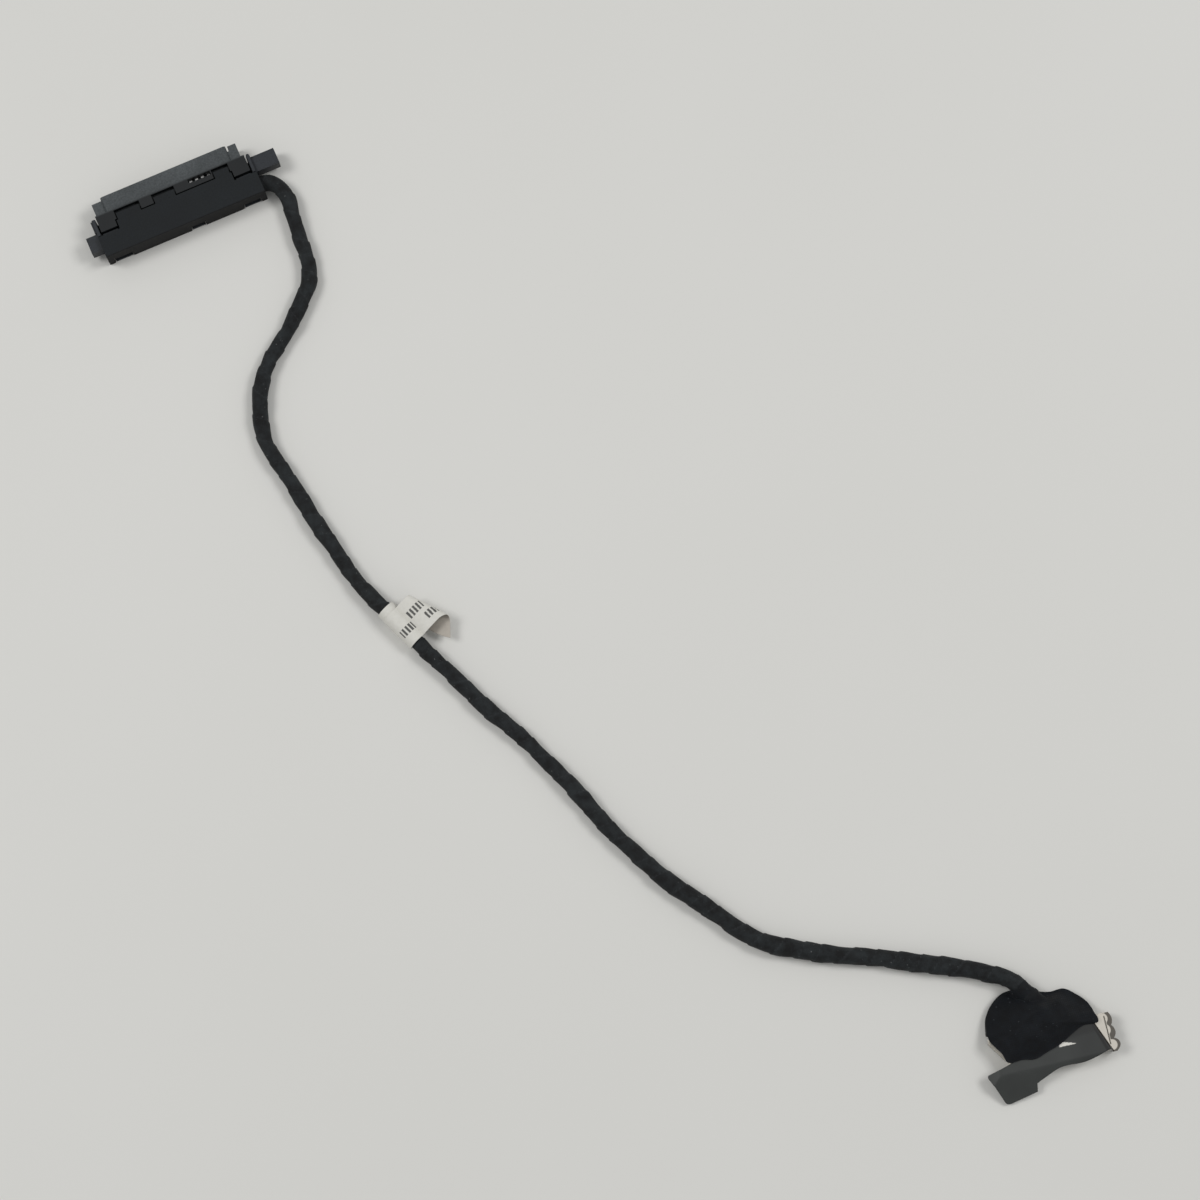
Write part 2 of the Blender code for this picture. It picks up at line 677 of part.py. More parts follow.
def make_snap_cover():
    """The cover: a plate over the wires, set back at its front corners, a wall down the back,
    and tongues into the pockets."""
    section = (
        (0, COVER_FOOT_GAP),
        (COVER_THICKNESS, COVER_FOOT_GAP),
        (COVER_THICKNESS, COVER_UNDERSIDE),
        (COVER_DEPTH, COVER_UNDERSIDE),
        (COVER_DEPTH, BODY_HEIGHT),
        (0, BODY_HEIGHT),
    )
    middle = Matrix.Translation((LEFT + BODY_LENGTH / 2, BACK, 0)) @ ON_SIDE
    cover = outline("snap_cover", section, BODY_LENGTH / 2, middle)
    joined = []
    for number, (start, length) in enumerate(POCKETS):
        low, high = BODY_MIDDLE + start + CLEARANCE, BODY_MIDDLE + start + length - CLEARANCE
        joined.append(
            body_box(
                f"tongue_{number + 1}",
                (low, COVER_DEPTH - CLEARANCE, COVER_UNDERSIDE + TONGUE_DROP),
                (high, COVER_DEPTH + TONGUE_REACH, BODY_HEIGHT - TONGUE_DROP),
            )
        )
    boolean(cover, "UNION", joined)
    cutters = []
    for number, (start, length) in enumerate(BACK_NOTCHES):
        cutters.append(
            body_box(
                f"back_notch_{number + 1}",
                (BODY_MIDDLE + start, -CUT_MARGIN, -CUT_MARGIN),
                (BODY_MIDDLE + start + length, COVER_THICKNESS + CUT_MARGIN, BACK_NOTCH_HEIGHT),
            )
        )
    for name, start in (("left", -CUT_MARGIN), ("right", BODY_LENGTH - COVER_CORNER)):
        cutters.append(
            body_box(
                name + "_cover_corner",
                (start, COVER_CORNER_FROM, TRAY_TOP),
                (start + COVER_CORNER + CUT_MARGIN, COVER_DEPTH + CUT_MARGIN, BODY_HEIGHT + CUT_MARGIN),
            )
        )
    boolean(cover, "DIFFERENCE", cutters)
    bevel(cover, EDGE_BEVEL)
    show(cover, (0.02, 0.022, 0.023), 0.4)


def make_wires():
    """Thirteen wires: off their contact tails, down into a lane, and along it to the cable."""
    signal, power = contact_places()
    lanes = len(WIRES_IN_LANE)
    slots = [(lane, level) for lane, count in enumerate(WIRES_IN_LANE) for level in range(count)]
    end = RIGHT - CABLE_INSIDE - CLEARANCE
    for number, (place, (lane, level)) in enumerate(zip(signal + power, slots)):
        x = LEFT + place
        y = BACK + CABLE_EXIT_FROM_BACK + (lane - (lanes - 1) / 2) * WIRE_PITCH
        z = CABLE_EXIT_HEIGHT + (level - (WIRES_IN_LANE[lane] - 1) / 2) * WIRE_PITCH
        points = (
            (x, BACK + REAR_BLOCK_FROM - CLEARANCE, WIRE_PASS_HEIGHT),
            (x, y + 1.2 * WIRE_BEND, WIRE_PASS_HEIGHT),
            (x, y + 0.3 * WIRE_BEND, WIRE_PASS_HEIGHT - 0.5 * WIRE_BEND),
            (x + 0.3 * WIRE_BEND, y, (WIRE_PASS_HEIGHT + z) / 2),
            (x + 0.7 * WIRE_BEND, y, z + 0.4 * WIRE_BEND),
            (x + 1.6 * WIRE_BEND, y, z),
            (end, y, z),
        )
        wire = tube(f"wire_{number + 1:02d}", points, WIRE_DIAMETER / 2, 1)
        show(wire, (0.03, 0.03, 0.035), 0.4)


def tube(name, points, radius, resolution):
    """A round wire or cable along points, with closed ends."""
    curve = bpy.data.curves.new(name, "CURVE")
    curve.dimensions = "3D"
    curve.bevel_depth = radius
    curve.bevel_resolution = resolution
    curve.use_fill_caps = True
    spline = curve.splines.new("POLY")
    spline.points.add(len(points) - 1)
    for point, place in zip(spline.points, points):
        point.co = (*place, 1.0)
    return bpy.data.objects.new(name, curve)


def smooth_route(points, longest):
    """Points on the smooth curve through the route's points, closer where the route's are."""
    points = [Vector(point) for point in points]
    ends = [2 * points[0] - points[1], *points, 2 * points[-1] - points[-2]]
    smooth = []
    for a, b, c, d in zip(ends, ends[1:], ends[2:], ends[3:]):
        steps = max(1, math.ceil((c - b).length / longest))
        for step in range(steps):
            t = step / steps
            square, cube = 2 * a - 5 * b + 4 * c - d, 3 * b - a - 3 * c + d
            smooth.append(0.5 * (2 * b + (c - a) * t + square * t**2 + cube * t**3))
    return [*smooth, points[-1]]


def route():
    """The drawn route, moved with the way out of the body and raised or lowered to it."""
    moved = Vector((RIGHT, BACK + CABLE_EXIT_FROM_BACK, 0)) - Vector((*ROUTE_EXIT, 0)) * MM
    drawn_rise = CABLE_ROUTE[0][2] * MM - CABLE_RADIUS
    rise = (CABLE_EXIT_HEIGHT - CABLE_RADIUS) / drawn_rise
    points = []
    for number, point in enumerate(CABLE_ROUTE):
        place = Vector(point) * MM + moved
        if number < ROUTE_LYING:
            place.z = CABLE_RADIUS + (place.z - CABLE_RADIUS) * rise
        points.append(place)
    return points


def cable_points():
    return smooth_route(route(), CABLE_STEP)


def make_cable():
    sleeve = tube("cable_sleeve", cable_points(), CABLE_RADIUS, 2)
    show(sleeve, (0.02, 0.02, 0.022), 0.85)


def frame_along(place, direction):
    """A frame at a place, with X along the direction and Z as near to up as it can be."""
    along = Vector(direction).normalized()
    across = Vector((0, 0, 1)).cross(along).normalized()
    up = along.cross(across)
    turn = Matrix((along, across, up)).transposed().to_4x4()
    return Matrix.Translation(place) @ turn


def make_label():
    """Paper wrapped round the cable: most of a ring, then a flag that arches over to one side."""
    points = cable_points()
    place = route()[LABEL_POINT]
    middle = min(range(len(points)), key=lambda n: (points[n] - place).length)
    along = points[middle + 1] - points[middle - 1]
    along.z = 0
    radius = CABLE_RADIUS + CLEARANCE + LABEL_THICKNESS / 2
    path = []
    for step in range(14):
        angle = math.radians(-10 - 260 * step / 13)
        path.append((radius * math.cos(angle), radius * math.sin(angle)))
    for share in (0.3, 0.55, 0.8, 0.95, 1.0):
        rise = LABEL_FLAG_RISE * math.sin(math.pi * min(1.0, share / 0.8))
        drop = LABEL_FLAG_DROP * max(0.0, share - 0.6) / 0.4
        path.append((LABEL_FLAG_REACH * (share + 0.02), radius + rise - drop))
    place = frame_along(points[middle], along) @ ON_SIDE
    label = outline("label_flag", ribbon(path, LABEL_THICKNESS), LABEL_WIDTH / 2, place)
    show(label, (0.75, 0.73, 0.68), 0.6)


def board_empty():
    """The frame of the board end, which its pieces are parented to."""
    end = route()[-1]
    empty = bpy.data.objects.new("board_end_frame", None)
    empty.location = (end.x + BOARD_FROM_CABLE_END[0], end.y + BOARD_FROM_CABLE_END[1], 0.0)
    empty.rotation_euler = (0, 0, BOARD_TURN)
    part_collection.objects.link(empty)
    return empty


def make_board_housing(parent):
    """The insulator with one cell right through it for each contact, and a key rib at each end."""
    half = BOARD_LENGTH / 2
    housing = box("board_housing", (-half, -BOARD_DEPTH / 2, 0), (half, BOARD_DEPTH / 2, BOARD_HEIGHT))
    ribs = []
    for side in (-1, 1):
        inner, outer = side * (half - BOARD_KEY_LENGTH), side * (half - BOARD_KEY_INSET)
        ribs.append(
            box(
                "key_rib_left" if side < 0 else "key_rib_right",
                (min(inner, outer), -BOARD_DEPTH / 2 - BOARD_KEY_REACH, BOARD_KEY_INSET),
                (max(inner, outer), -BOARD_DEPTH / 2 + BOARD_KEY_REACH, BOARD_HEIGHT / 2),
            )
        )
    boolean(housing, "UNION", ribs)
    bevel(housing, EDGE_BEVEL)
    cells = []
    cell_half, cell_reach = BOARD_WINDOW / 2, BOARD_DEPTH / 2 + CUT_MARGIN
    cell_top = BOARD_WINDOW_BOTTOM + BOARD_WINDOW_HEIGHT
    for number, place in enumerate(board_places()):
        cells.append(
            box(
                f"cell_{number + 1}",
                (place - cell_half, -cell_reach, BOARD_WINDOW_BOTTOM),
                (place + cell_half, cell_reach, cell_top),
            )
        )
    boolean(housing, "DIFFERENCE", cells)
    for piece in [housing, *ribs, *cells]:
        piece.parent = parent
    show(housing, (0.8, 0.78, 0.72), 0.45)


def board_places():
    """The contacts' places along the board connector, from its middle."""
    return [(n - (BOARD_COUNT - 1) / 2) * BOARD_PITCH for n in range(BOARD_COUNT)]


def make_board_contacts(parent):
    """A straight strip in each cell with a sprung rise near its front."""
    front = -BOARD_DEPTH / 2 + CLEARANCE
    rear = BOARD_DEPTH / 2 - CLEARANCE
    low = BOARD_WINDOW_BOTTOM + CONTACT_CLEARANCE + BOARD_CONTACT_SHEET / 2
    high = BOARD_WINDOW_BOTTOM + BOARD_WINDOW_HEIGHT - CONTACT_CLEARANCE - BOARD_CONTACT_SHEET / 2
    path = ((front, low), (front + 0.12 * BOARD_DEPTH, high), (front + 0.4 * BOARD_DEPTH, low), (rear, low))
    strip = ribbon(path, BOARD_CONTACT_SHEET)
    mesh = None
    for number, place in enumerate(board_places()):
        name = f"board_contact_{number + 1:02d}"
        where = Matrix.Translation((place, 0, 0)) @ ON_SIDE
        if mesh is None:
            contact = outline(name, strip, BOARD_CONTACT_WIDTH / 2, where)
            mesh = contact.data
        else:
            contact = bpy.data.objects.new(name, mesh.copy())
        contact.parent = parent
        contact.matrix_local = where
        show(contact, (0.8, 0.72, 0.5), 0.25, 1.0)


def make_board_cover(parent):
    """The stamped cover: a top plate, a wall that splays out towards the back at its left end,
    and a right end whose plate and wall bulge out in three springs."""
    wall_from = BOARD_LENGTH / 2 + CLEARANCE + METAL_SHEET / 2
    half_depth = BOARD_DEPTH / 2 - METAL_INSET
    wall_top = METAL_TOP - METAL_SHEET / 2
    edge = METAL_SHEET / 2 + METAL_EDGE
    steps = 8
    wavy = []
    front = SPRING_FROM - len(SPRING_BULGES) * SPRING_LENGTH / 2
    for number, bulge in enumerate(SPRING_BULGES):
        for step in range(steps):
            along = front + (number + step / steps) * SPRING_LENGTH
            wavy.append((wall_from + bulge * math.sin(math.pi * step / steps) ** 0.7, along))
    wavy.append((wall_from, front + len(SPRING_BULGES) * SPRING_LENGTH))
    splayed = ((-wall_from - SPLAY_BACK, 0.75 * half_depth), (-wall_from - SPLAY_FRONT, -0.4 * half_depth))
    plate = [(x + edge, y) for x, y in wavy]
    plate[0] = (plate[0][0], plate[0][1] - METAL_EDGE)
    plate[-1] = (plate[-1][0], plate[-1][1] + METAL_EDGE)
    plate += [
        (BOARD_LENGTH / 2 - edge, plate[-1][1]),
        (BOARD_LENGTH / 2 - edge, half_depth),
        (splayed[0][0] - edge, half_depth),
        (splayed[0][0] - edge, splayed[0][1]),
        (splayed[1][0] - edge, splayed[1][1]),
        (-BOARD_LENGTH / 2, -0.65 * half_depth),
        (-BOARD_LENGTH / 2, -half_depth),
        (BOARD_LENGTH / 2 - edge, -half_depth),
        (BOARD_LENGTH / 2 - edge, plate[0][1]),
    ]
    top = outline(
        "board_cover", plate, METAL_SHEET / 2, Matrix.Translation((0, 0, METAL_TOP - METAL_SHEET / 2))
    )
    walls = [
        outline(
            name + "_end_wall",
            ribbon(path, METAL_SHEET),
            (wall_top - METAL_FOOT_GAP) / 2,
            Matrix.Translation((0, 0, (wall_top + METAL_FOOT_GAP) / 2)),
        )
        for name, path in (("left", splayed), ("right", wavy))
    ]
    slit_to = BOARD_LENGTH / 2 - SLIT_FROM_END
    slit = box(
        "end_slit",
        (slit_to - SLIT_WIDTH, -half_depth + SLIT_END_MARGIN, METAL_TOP - METAL_SHEET - CUT_MARGIN),
        (slit_to, half_depth - SLIT_END_MARGIN, METAL_TOP + CUT_MARGIN),
    )
    boolean(top, "UNION", walls)
    boolean(top, "DIFFERENCE", [slit])
    for piece in [top, *walls, slit]:
        piece.parent = parent
    show(top, (0.72, 0.7, 0.66), 0.3, 1.0)


def make_pull_tab(parent):
    """A stiff film: flat on the metal cover, then sloping down past its front edge and left end."""
    upper = [Vector(point) * MM for point in TAB_UPPER_EDGE]
    lower = [Vector(point) * MM for point in TAB_LOWER_EDGE]
    rows, across = [], 8
    for index in range(len(upper) - 1):
        steps = 1 if (upper[index + 1] - upper[index]).length < 0.5 * MM else 3
        for step in range(steps):
            share = step / steps
            start = upper[index].lerp(upper[index + 1], share)
            rows.append((start, lower[index].lerp(lower[index + 1], share)))
    rows.append((upper[-1], lower[-1]))
    front = -BOARD_DEPTH / 2 - FILM_OVERHANG
    end = -BOARD_LENGTH / 2 - CLEARANCE - METAL_SHEET - FILM_END_OVERHANG
    shape = bmesh.new()
    grid = []
    for a, b in rows:
        line = []
        for step in range(across + 1):
            point = a.lerp(b, step / across)
            beyond = max(0.0, front - point.y, end - point.x)
            height = max(FILM_BOTTOM - FILM_SLOPE * beyond, CLEARANCE / 2)
            line.append(shape.verts.new((point.x, point.y, height)))
        grid.append(line)
    for first, second in zip(grid, grid[1:]):
        for n in range(across):
            shape.faces.new((first[n], second[n], second[n + 1], first[n + 1]))
    bmesh.ops.recalc_face_normals(shape, faces=shape.faces)
    if sum(face.normal.z for face in shape.faces) < 0:
        bmesh.ops.reverse_faces(shape, faces=shape.faces)
    mesh = bpy.data.meshes.new("pull_tab")
    shape.to_mesh(mesh)
    shape.free()
    tab = bpy.data.objects.new("pull_tab", mesh)
    thick = tab.modifiers.new("film thickness", "SOLIDIFY")
    thick.thickness = FILM_THICKNESS
    thick.offset = 1.0
    tab.parent = parent
    show(tab, (0.06, 0.06, 0.065), 0.4)


def pouch_heights(over, share):
    """Height of the pouch's skin above a point, from its rim at share 1 to its crown at share 0."""
    rim = POUCH_SIDE_HEIGHT + over * (POUCH_UNDERSIDE + POUCH_EDGE_HEIGHT - POUCH_SIDE_HEIGHT)
    return rim + (POUCH_HEIGHT - rim) * (1 - share**2) ** 0.75


def make_fan_pouch(parent, cable_end, cable_direction):
    """The closed tape pouch over the fanned wires, lofted from its outline to its crown."""
    centre = Vector(POUCH_CENTRE) * MM
    shape = bmesh.new()

    def ring(share, height_of):
        made = []
        for x, y, over in POUCH_OUTLINE:
            flat = centre.lerp(Vector((x, y)) * MM, share)
            made.append(shape.verts.new((flat.x, flat.y, height_of(over))))
        return made

    rings = [ring(0.96, lambda over: 0.0), ring(1.0, lambda over: POUCH_SIDE_HEIGHT / 3)]
    for share in (1.0, 0.93, 0.82, 0.66, 0.45, 0.22):
        rings.append(ring(share, lambda over, share=share: pouch_heights(over, share)))
    count = len(POUCH_OUTLINE)
    for lower, upper in zip(rings, rings[1:]):
        for n in range(count):
            after = (n + 1) % count
            shape.faces.new((lower[n], lower[after], upper[after], upper[n]))
    shape.faces.new(rings[0][::-1])
    shape.faces.new(rings[-1])
    bmesh.ops.recalc_face_normals(shape, faces=shape.faces)
    mesh = bpy.data.meshes.new("fan_tape_pouch")
    shape.to_mesh(mesh)
    shape.free()
    pouch = bpy.data.objects.new("fan_tape_pouch", mesh)
    reach = BOARD_LENGTH
    connector = box(
        "connector_room",
        (-reach, -BOARD_LENGTH / 2, -CUT_MARGIN),
        (reach, BOARD_DEPTH / 2 + CLEARANCE, POUCH_UNDERSIDE),
    )
    socket_radius = CABLE_RADIUS + CLEARANCE + WRAP_THICKNESS + CLEARANCE
    inner_end = cable_end + cable_direction * CLEARANCE
    socket = cylinder(
        "cable_socket",
        socket_radius,
        2 * SOCKET_DEPTH,
        inner_end - cable_direction * SOCKET_DEPTH,
        cable_direction,
    )
    pouch.parent = parent
    connector.parent = parent
    boolean(pouch, "DIFFERENCE", [connector, socket])
    show(pouch, (0.018, 0.02, 0.022), 0.7)


def make_end_wrap(points):
    """One more turn of tape round the cable's end: a sleeve turned about the cable's line."""
    inner = CABLE_RADIUS + CLEARANCE
    outer = inner + WRAP_THICKNESS
    chamfer = WRAP_THICKNESS / 3
    half = WRAP_LENGTH / 2
    profile = (
        (inner, -half),
        (inner, half),
        (outer - chamfer, half),
        (outer, half - chamfer),
        (outer, -half + chamfer),
        (outer - chamfer, -half),
    )
    shape = bmesh.new()
    corners = [shape.verts.new((x, 0, z)) for x, z in profile]
    for first, second in zip(corners, corners[1:] + corners[:1]):
        shape.edges.new((first, second))
    mesh = bpy.data.meshes.new("end_wrap")
    shape.to_mesh(mesh)
    shape.free()
    wrap = bpy.data.objects.new("end_wrap", mesh)
    turn = wrap.modifiers.new("turned", "SCREW")
    turn.axis = "Z"
    turn.steps = 20
    turn.render_steps = 20
    turn.use_merge_vertices = True
    turn.merge_threshold = 0.0001 * MM
    turn.use_normal_calculate = True
    direction = (points[-1] - points[-2]).normalized()
    middle = points[-1] - direction * WRAP_FROM_END
    wrap.matrix_world = Matrix.Translation(middle) @ direction.to_track_quat("Z", "Y").to_matrix().to_4x4()
    show(wrap, (0.02, 0.022, 0.024), 0.7)


def main():
    clear_scene()
    make_receptacle()
    make_contacts()
    make_wire_housing()
    make_snap_cover()
    make_wires()
    make_cable()
    make_label()
    board = board_empty()
    make_board_housing(board)
    make_board_contacts(board)
    make_board_cover(board)
    make_pull_tab(board)
    points = cable_points()
    direction = (points[-1] - points[-2]).normalized()
    make_fan_pouch(board, points[-1], direction)
    make_end_wrap(points)


main()
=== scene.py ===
"""Optical drive adapter cable: a moulded drive end, a tape-wound cable with its paper label,
and a small board end under a tape pouch. Metres, +Z up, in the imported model's frame."""

import math

import bpy
import numpy as np
from mathutils import Matrix, Vector


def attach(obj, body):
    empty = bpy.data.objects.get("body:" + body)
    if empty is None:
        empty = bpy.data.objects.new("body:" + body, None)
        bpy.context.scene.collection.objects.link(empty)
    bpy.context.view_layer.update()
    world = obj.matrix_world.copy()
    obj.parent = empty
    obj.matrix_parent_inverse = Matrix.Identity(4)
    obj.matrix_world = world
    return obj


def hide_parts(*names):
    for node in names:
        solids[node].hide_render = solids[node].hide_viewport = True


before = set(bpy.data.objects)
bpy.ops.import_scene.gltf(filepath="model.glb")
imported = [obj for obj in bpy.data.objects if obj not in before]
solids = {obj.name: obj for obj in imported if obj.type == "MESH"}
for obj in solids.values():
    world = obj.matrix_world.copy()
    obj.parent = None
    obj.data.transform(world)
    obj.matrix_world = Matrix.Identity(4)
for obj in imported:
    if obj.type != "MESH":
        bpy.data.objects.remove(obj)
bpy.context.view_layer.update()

MM = 0.001


# The camera. It looks down at the photograph's angle, 80 degrees above the surface and turned
# 24 degrees from the drive end's front, and takes in about 240 mm of it.
LOOK_TURN = math.radians(23.717)
LOOK_DOWN = math.radians(80.0)
CAMERA_PLACE = Vector((2.433, -204.103, 590.885)) * MM
SENSOR_WIDTH = 36.0
FOCAL_LENGTH = 90.9

across = Vector((math.cos(LOOK_TURN), -math.sin(LOOK_TURN), 0.0))
ahead = Vector(
    (
        math.sin(LOOK_TURN) * math.cos(LOOK_DOWN),
        math.cos(LOOK_TURN) * math.cos(LOOK_DOWN),
        -math.sin(LOOK_DOWN),
    )
)
upward = across.cross(ahead)
camera = bpy.data.objects.new("camera", bpy.data.cameras.new("camera"))
camera.data.sensor_width = SENSOR_WIDTH
camera.data.lens = FOCAL_LENGTH
camera.data.clip_start = 0.01
camera.data.clip_end = 20.0
looking = Matrix((across, upward, -ahead)).transposed().to_4x4()
camera.matrix_world = Matrix.Translation(CAMERA_PLACE) @ looking
bpy.context.scene.collection.objects.link(camera)
bpy.context.scene.camera = camera


# The surface and the light. A pale painted board under two wide soft lamps, one to each side,
# and an even room. The room behind shows the board's own colour.
def colour(code):
    """An sRGB hex colour as linear red, green, blue and full alpha, by the standard's curve."""
    parts = [int(code[n : n + 2], 16) / 255 for n in (1, 3, 5)]
    return [c / 12.92 if c <= 0.04045 else ((c + 0.055) / 1.055) ** 2.4 for c in parts] + [1.0]


def add(tree, kind, settings=None, values=None, links=None):
    """Adds one node with its settings and values. Each link gives a socket the node and the output
    that it reads."""
    node = tree.nodes.new(kind)
    for name, value in (settings or {}).items():
        setattr(node, name, value)
    for name, value in (values or {}).items():
        node.inputs[name].default_value = value
    for name, (source, output) in (links or {}).items():
        tree.links.new(source.outputs[output], node.inputs[name])
    return node


def new_material(name, code, roughness, metallic=0.0):
    """A material with one Principled shader: gives back the material, its tree and the shader."""
    material = bpy.data.materials.new(name)
    material.use_nodes = True
    shader = material.node_tree.nodes["Principled BSDF"]
    shader.inputs["Base Color"].default_value = colour(code)
    shader.inputs["Roughness"].default_value = roughness
    shader.inputs["Metallic"].default_value = metallic
    return material, material.node_tree, shader


SURFACE_COLOUR = "#D6D5D0"
SURFACE_PATCHES = ("#D3D2CD", "#D9D8D4")
SURFACE_WIDTH = 6.0
SURFACE_DROP = 0.1 * MM
bpy.ops.mesh.primitive_plane_add(size=SURFACE_WIDTH, location=(0.0, 0.0, -SURFACE_DROP))
board = bpy.context.object
board.name = "painted_board"
painted, tree, shader = new_material("painted board", SURFACE_COLOUR, 0.65)
coordinates = add(tree, "ShaderNodeTexCoord")
patches = add(
    tree,
    "ShaderNodeTexNoise",
    values={"Scale": 7.0, "Detail": 3.0},
    links={"Vector": (coordinates, "Object")},
)
tint = add(
    tree,
    "ShaderNodeMix",
    settings={"data_type": "RGBA"},
    values={6: colour(SURFACE_PATCHES[0]), 7: colour(SURFACE_PATCHES[1])},
    links={0: (patches, "Fac")},
)
tree.links.new(tint.outputs[2], shader.inputs["Base Color"])
board.data.materials.append(painted)

OBJECT_MIDDLE = Vector((0.044, -0.109, 0.0))
for name, place, size, power in (
    ("left lamp", (-0.56, 0.26, 0.95), 0.42, 4.7),
    ("right lamp", (0.78, -0.18, 1.0), 0.42, 4.9),
):
    lamp = bpy.data.objects.new(name, bpy.data.lights.new(name, "AREA"))
    lamp.data.size = size
    lamp.data.energy = power
    lamp.location = place
    aim = OBJECT_MIDDLE - Vector(place)
    lamp.rotation_euler = aim.to_track_quat("-Z", "Y").to_euler()
    bpy.context.scene.collection.objects.link(lamp)

ROOM_LIGHT = (0.97, 0.985, 1.0, 1.0)
ROOM_STRENGTH = 0.42
SEEN_STRENGTH = 0.8
world = bpy.data.worlds.new("room")
world.use_nodes = True
tree = world.node_tree
tree.nodes.clear()
rays = add(tree, "ShaderNodeLightPath")
seen = add(
    tree,
    "ShaderNodeMath",
    settings={"operation": "MAXIMUM"},
    links={0: (rays, "Is Camera Ray"), 1: (rays, "Is Glossy Ray")},
)
seen = add(
    tree,
    "ShaderNodeMath",
    settings={"operation": "MAXIMUM"},
    links={0: (seen, 0), 1: (rays, "Is Transmission Ray")},
)
room = add(
    tree, "ShaderNodeBackground", values={"Color": ROOM_LIGHT, "Strength": ROOM_STRENGTH}
)
behind = add(
    tree,
    "ShaderNodeBackground",
    values={"Color": colour(SURFACE_COLOUR), "Strength": SEEN_STRENGTH},
)
either = add(tree, "ShaderNodeMixShader", links={0: (seen, 0), 1: (room, 0), 2: (behind, 0)})
add(tree, "ShaderNodeOutputWorld", links={"Surface": (either, 0)})
bpy.context.scene.world = world
bpy.context.scene.view_settings.view_transform = "Standard"


# The cable. Thirteen thin wires laid side by side and wound in black acetate cloth tape, each
# turn lapping half over the last, so that the outside shows a slanting ridge every few
# millimetres and lumps where the wires bunch. It gets a little thicker towards the board end.
CABLE_ROUTE = np.array(
    [
        (13.4, -3.25, 2.675),
        (15.3, -3.25, 2.675),
        (17.3, -3.95, 2.58),
        (19.0, -5.8, 2.35),
        (19.6, -8.7, 2.08),
        (19.1, -12.8, 1.81),
        (18.5, -17.5, 1.7),
        (18.1, -22.0, 1.7),
        (16.6, -26.2, 1.7),
        (12.9, -30.0, 1.7),
        (8.4, -33.8, 1.7),
        (3.4, -37.7, 1.7),
        (-0.6, -42.4, 1.7),
        (-3.0, -47.8, 1.7),
        (-3.8, -53.4, 1.7),
        (-2.9, -60.0, 1.7),
        (-1.6, -68.0, 1.7),
        (-0.3, -76.0, 1.7),
        (1.3, -84.2, 1.8),
        (3.8, -92.0, 2.15),
        (6.6, -98.4, 2.3),
        (9.0, -105.0, 2.1),
        (12.2, -112.6, 1.75),
        (16.0, -121.3, 1.7),
        (19.9, -129.4, 1.7),
        (23.2, -137.6, 1.7),
        (26.0, -146.0, 1.7),
        (28.9, -154.2, 1.7),
        (32.8, -162.8, 1.7),
        (37.6, -170.9, 1.7),
        (42.6, -178.8, 1.7),
        (46.8, -183.9, 1.7),
        (52.6, -187.9, 1.7),
        (59.8, -192.1, 1.7),
        (67.4, -196.3, 1.7),
        (75.0, -200.8, 1.7),
        (81.6, -205.0, 1.85),
        (86.6, -208.7, 2.3),
        (89.9, -212.7, 2.6),
    ]
)
RING_STEP = 0.32 * MM
RING_SIDES = 40
TAPE_ADVANCE = 4.5 * MM
TAPE_STEP = 0.2 * MM
UNDER_TAPE = 0.08 * MM
START_RADIUS = 1.5 * MM
RADIUS_GAIN = 0.22 * MM
ROUTE_HEIGHT = 1.7 * MM
LEAST_HEIGHT = 0.02 * MM
END_BEND_LENGTH = 6 * MM
END_BEND = np.array([-1.4, -0.8]) * MM


def smooth_line(points, per_span=60):
    """A Catmull-Rom curve through points: on each span the cubic whose slope at a point is half
    the step between its neighbours, worked out for all spans at once."""
    ends = np.vstack([2 * points[0] - points[1], points, 2 * points[-1] - points[-2]])
    a, b, c, d = (ends[n : len(ends) - 3 + n, None, :] for n in range(4))
    t = np.linspace(0, 1, per_span, endpoint=False)[None, :, None]
    square, cube = 2 * a - 5 * b + 4 * c - d, 3 * b - a - 3 * c + d
    spans = 0.5 * (2 * b + (c - a) * t + square * t**2 + cube * t**3)
    return np.vstack([spans.reshape(-1, points.shape[1]), points[-1]])


def walk(line, step):
    """Points an even step apart along a line: each coordinate read at even distances."""
    distance = np.r_[0, np.cumsum(np.linalg.norm(np.diff(line, axis=0), axis=1))]
    even = np.linspace(0, distance[-1], max(2, int(round(distance[-1] / step)) + 1))
    return even, np.stack([np.interp(even, distance, column) for column in line.T], axis=1)


def directions(line):
    """Along, sideways and upwards at each point of a line: its slope, the level line across that,
    and the cross of the two."""
    along = np.gradient(line, axis=0)
    along /= np.linalg.norm(along, axis=1)[:, None]
    sideways = np.cross([0.0, 0.0, 1.0], along)
    sideways /= np.linalg.norm(sideways, axis=1)[:, None]
    return along, sideways, np.cross(along, sideways)


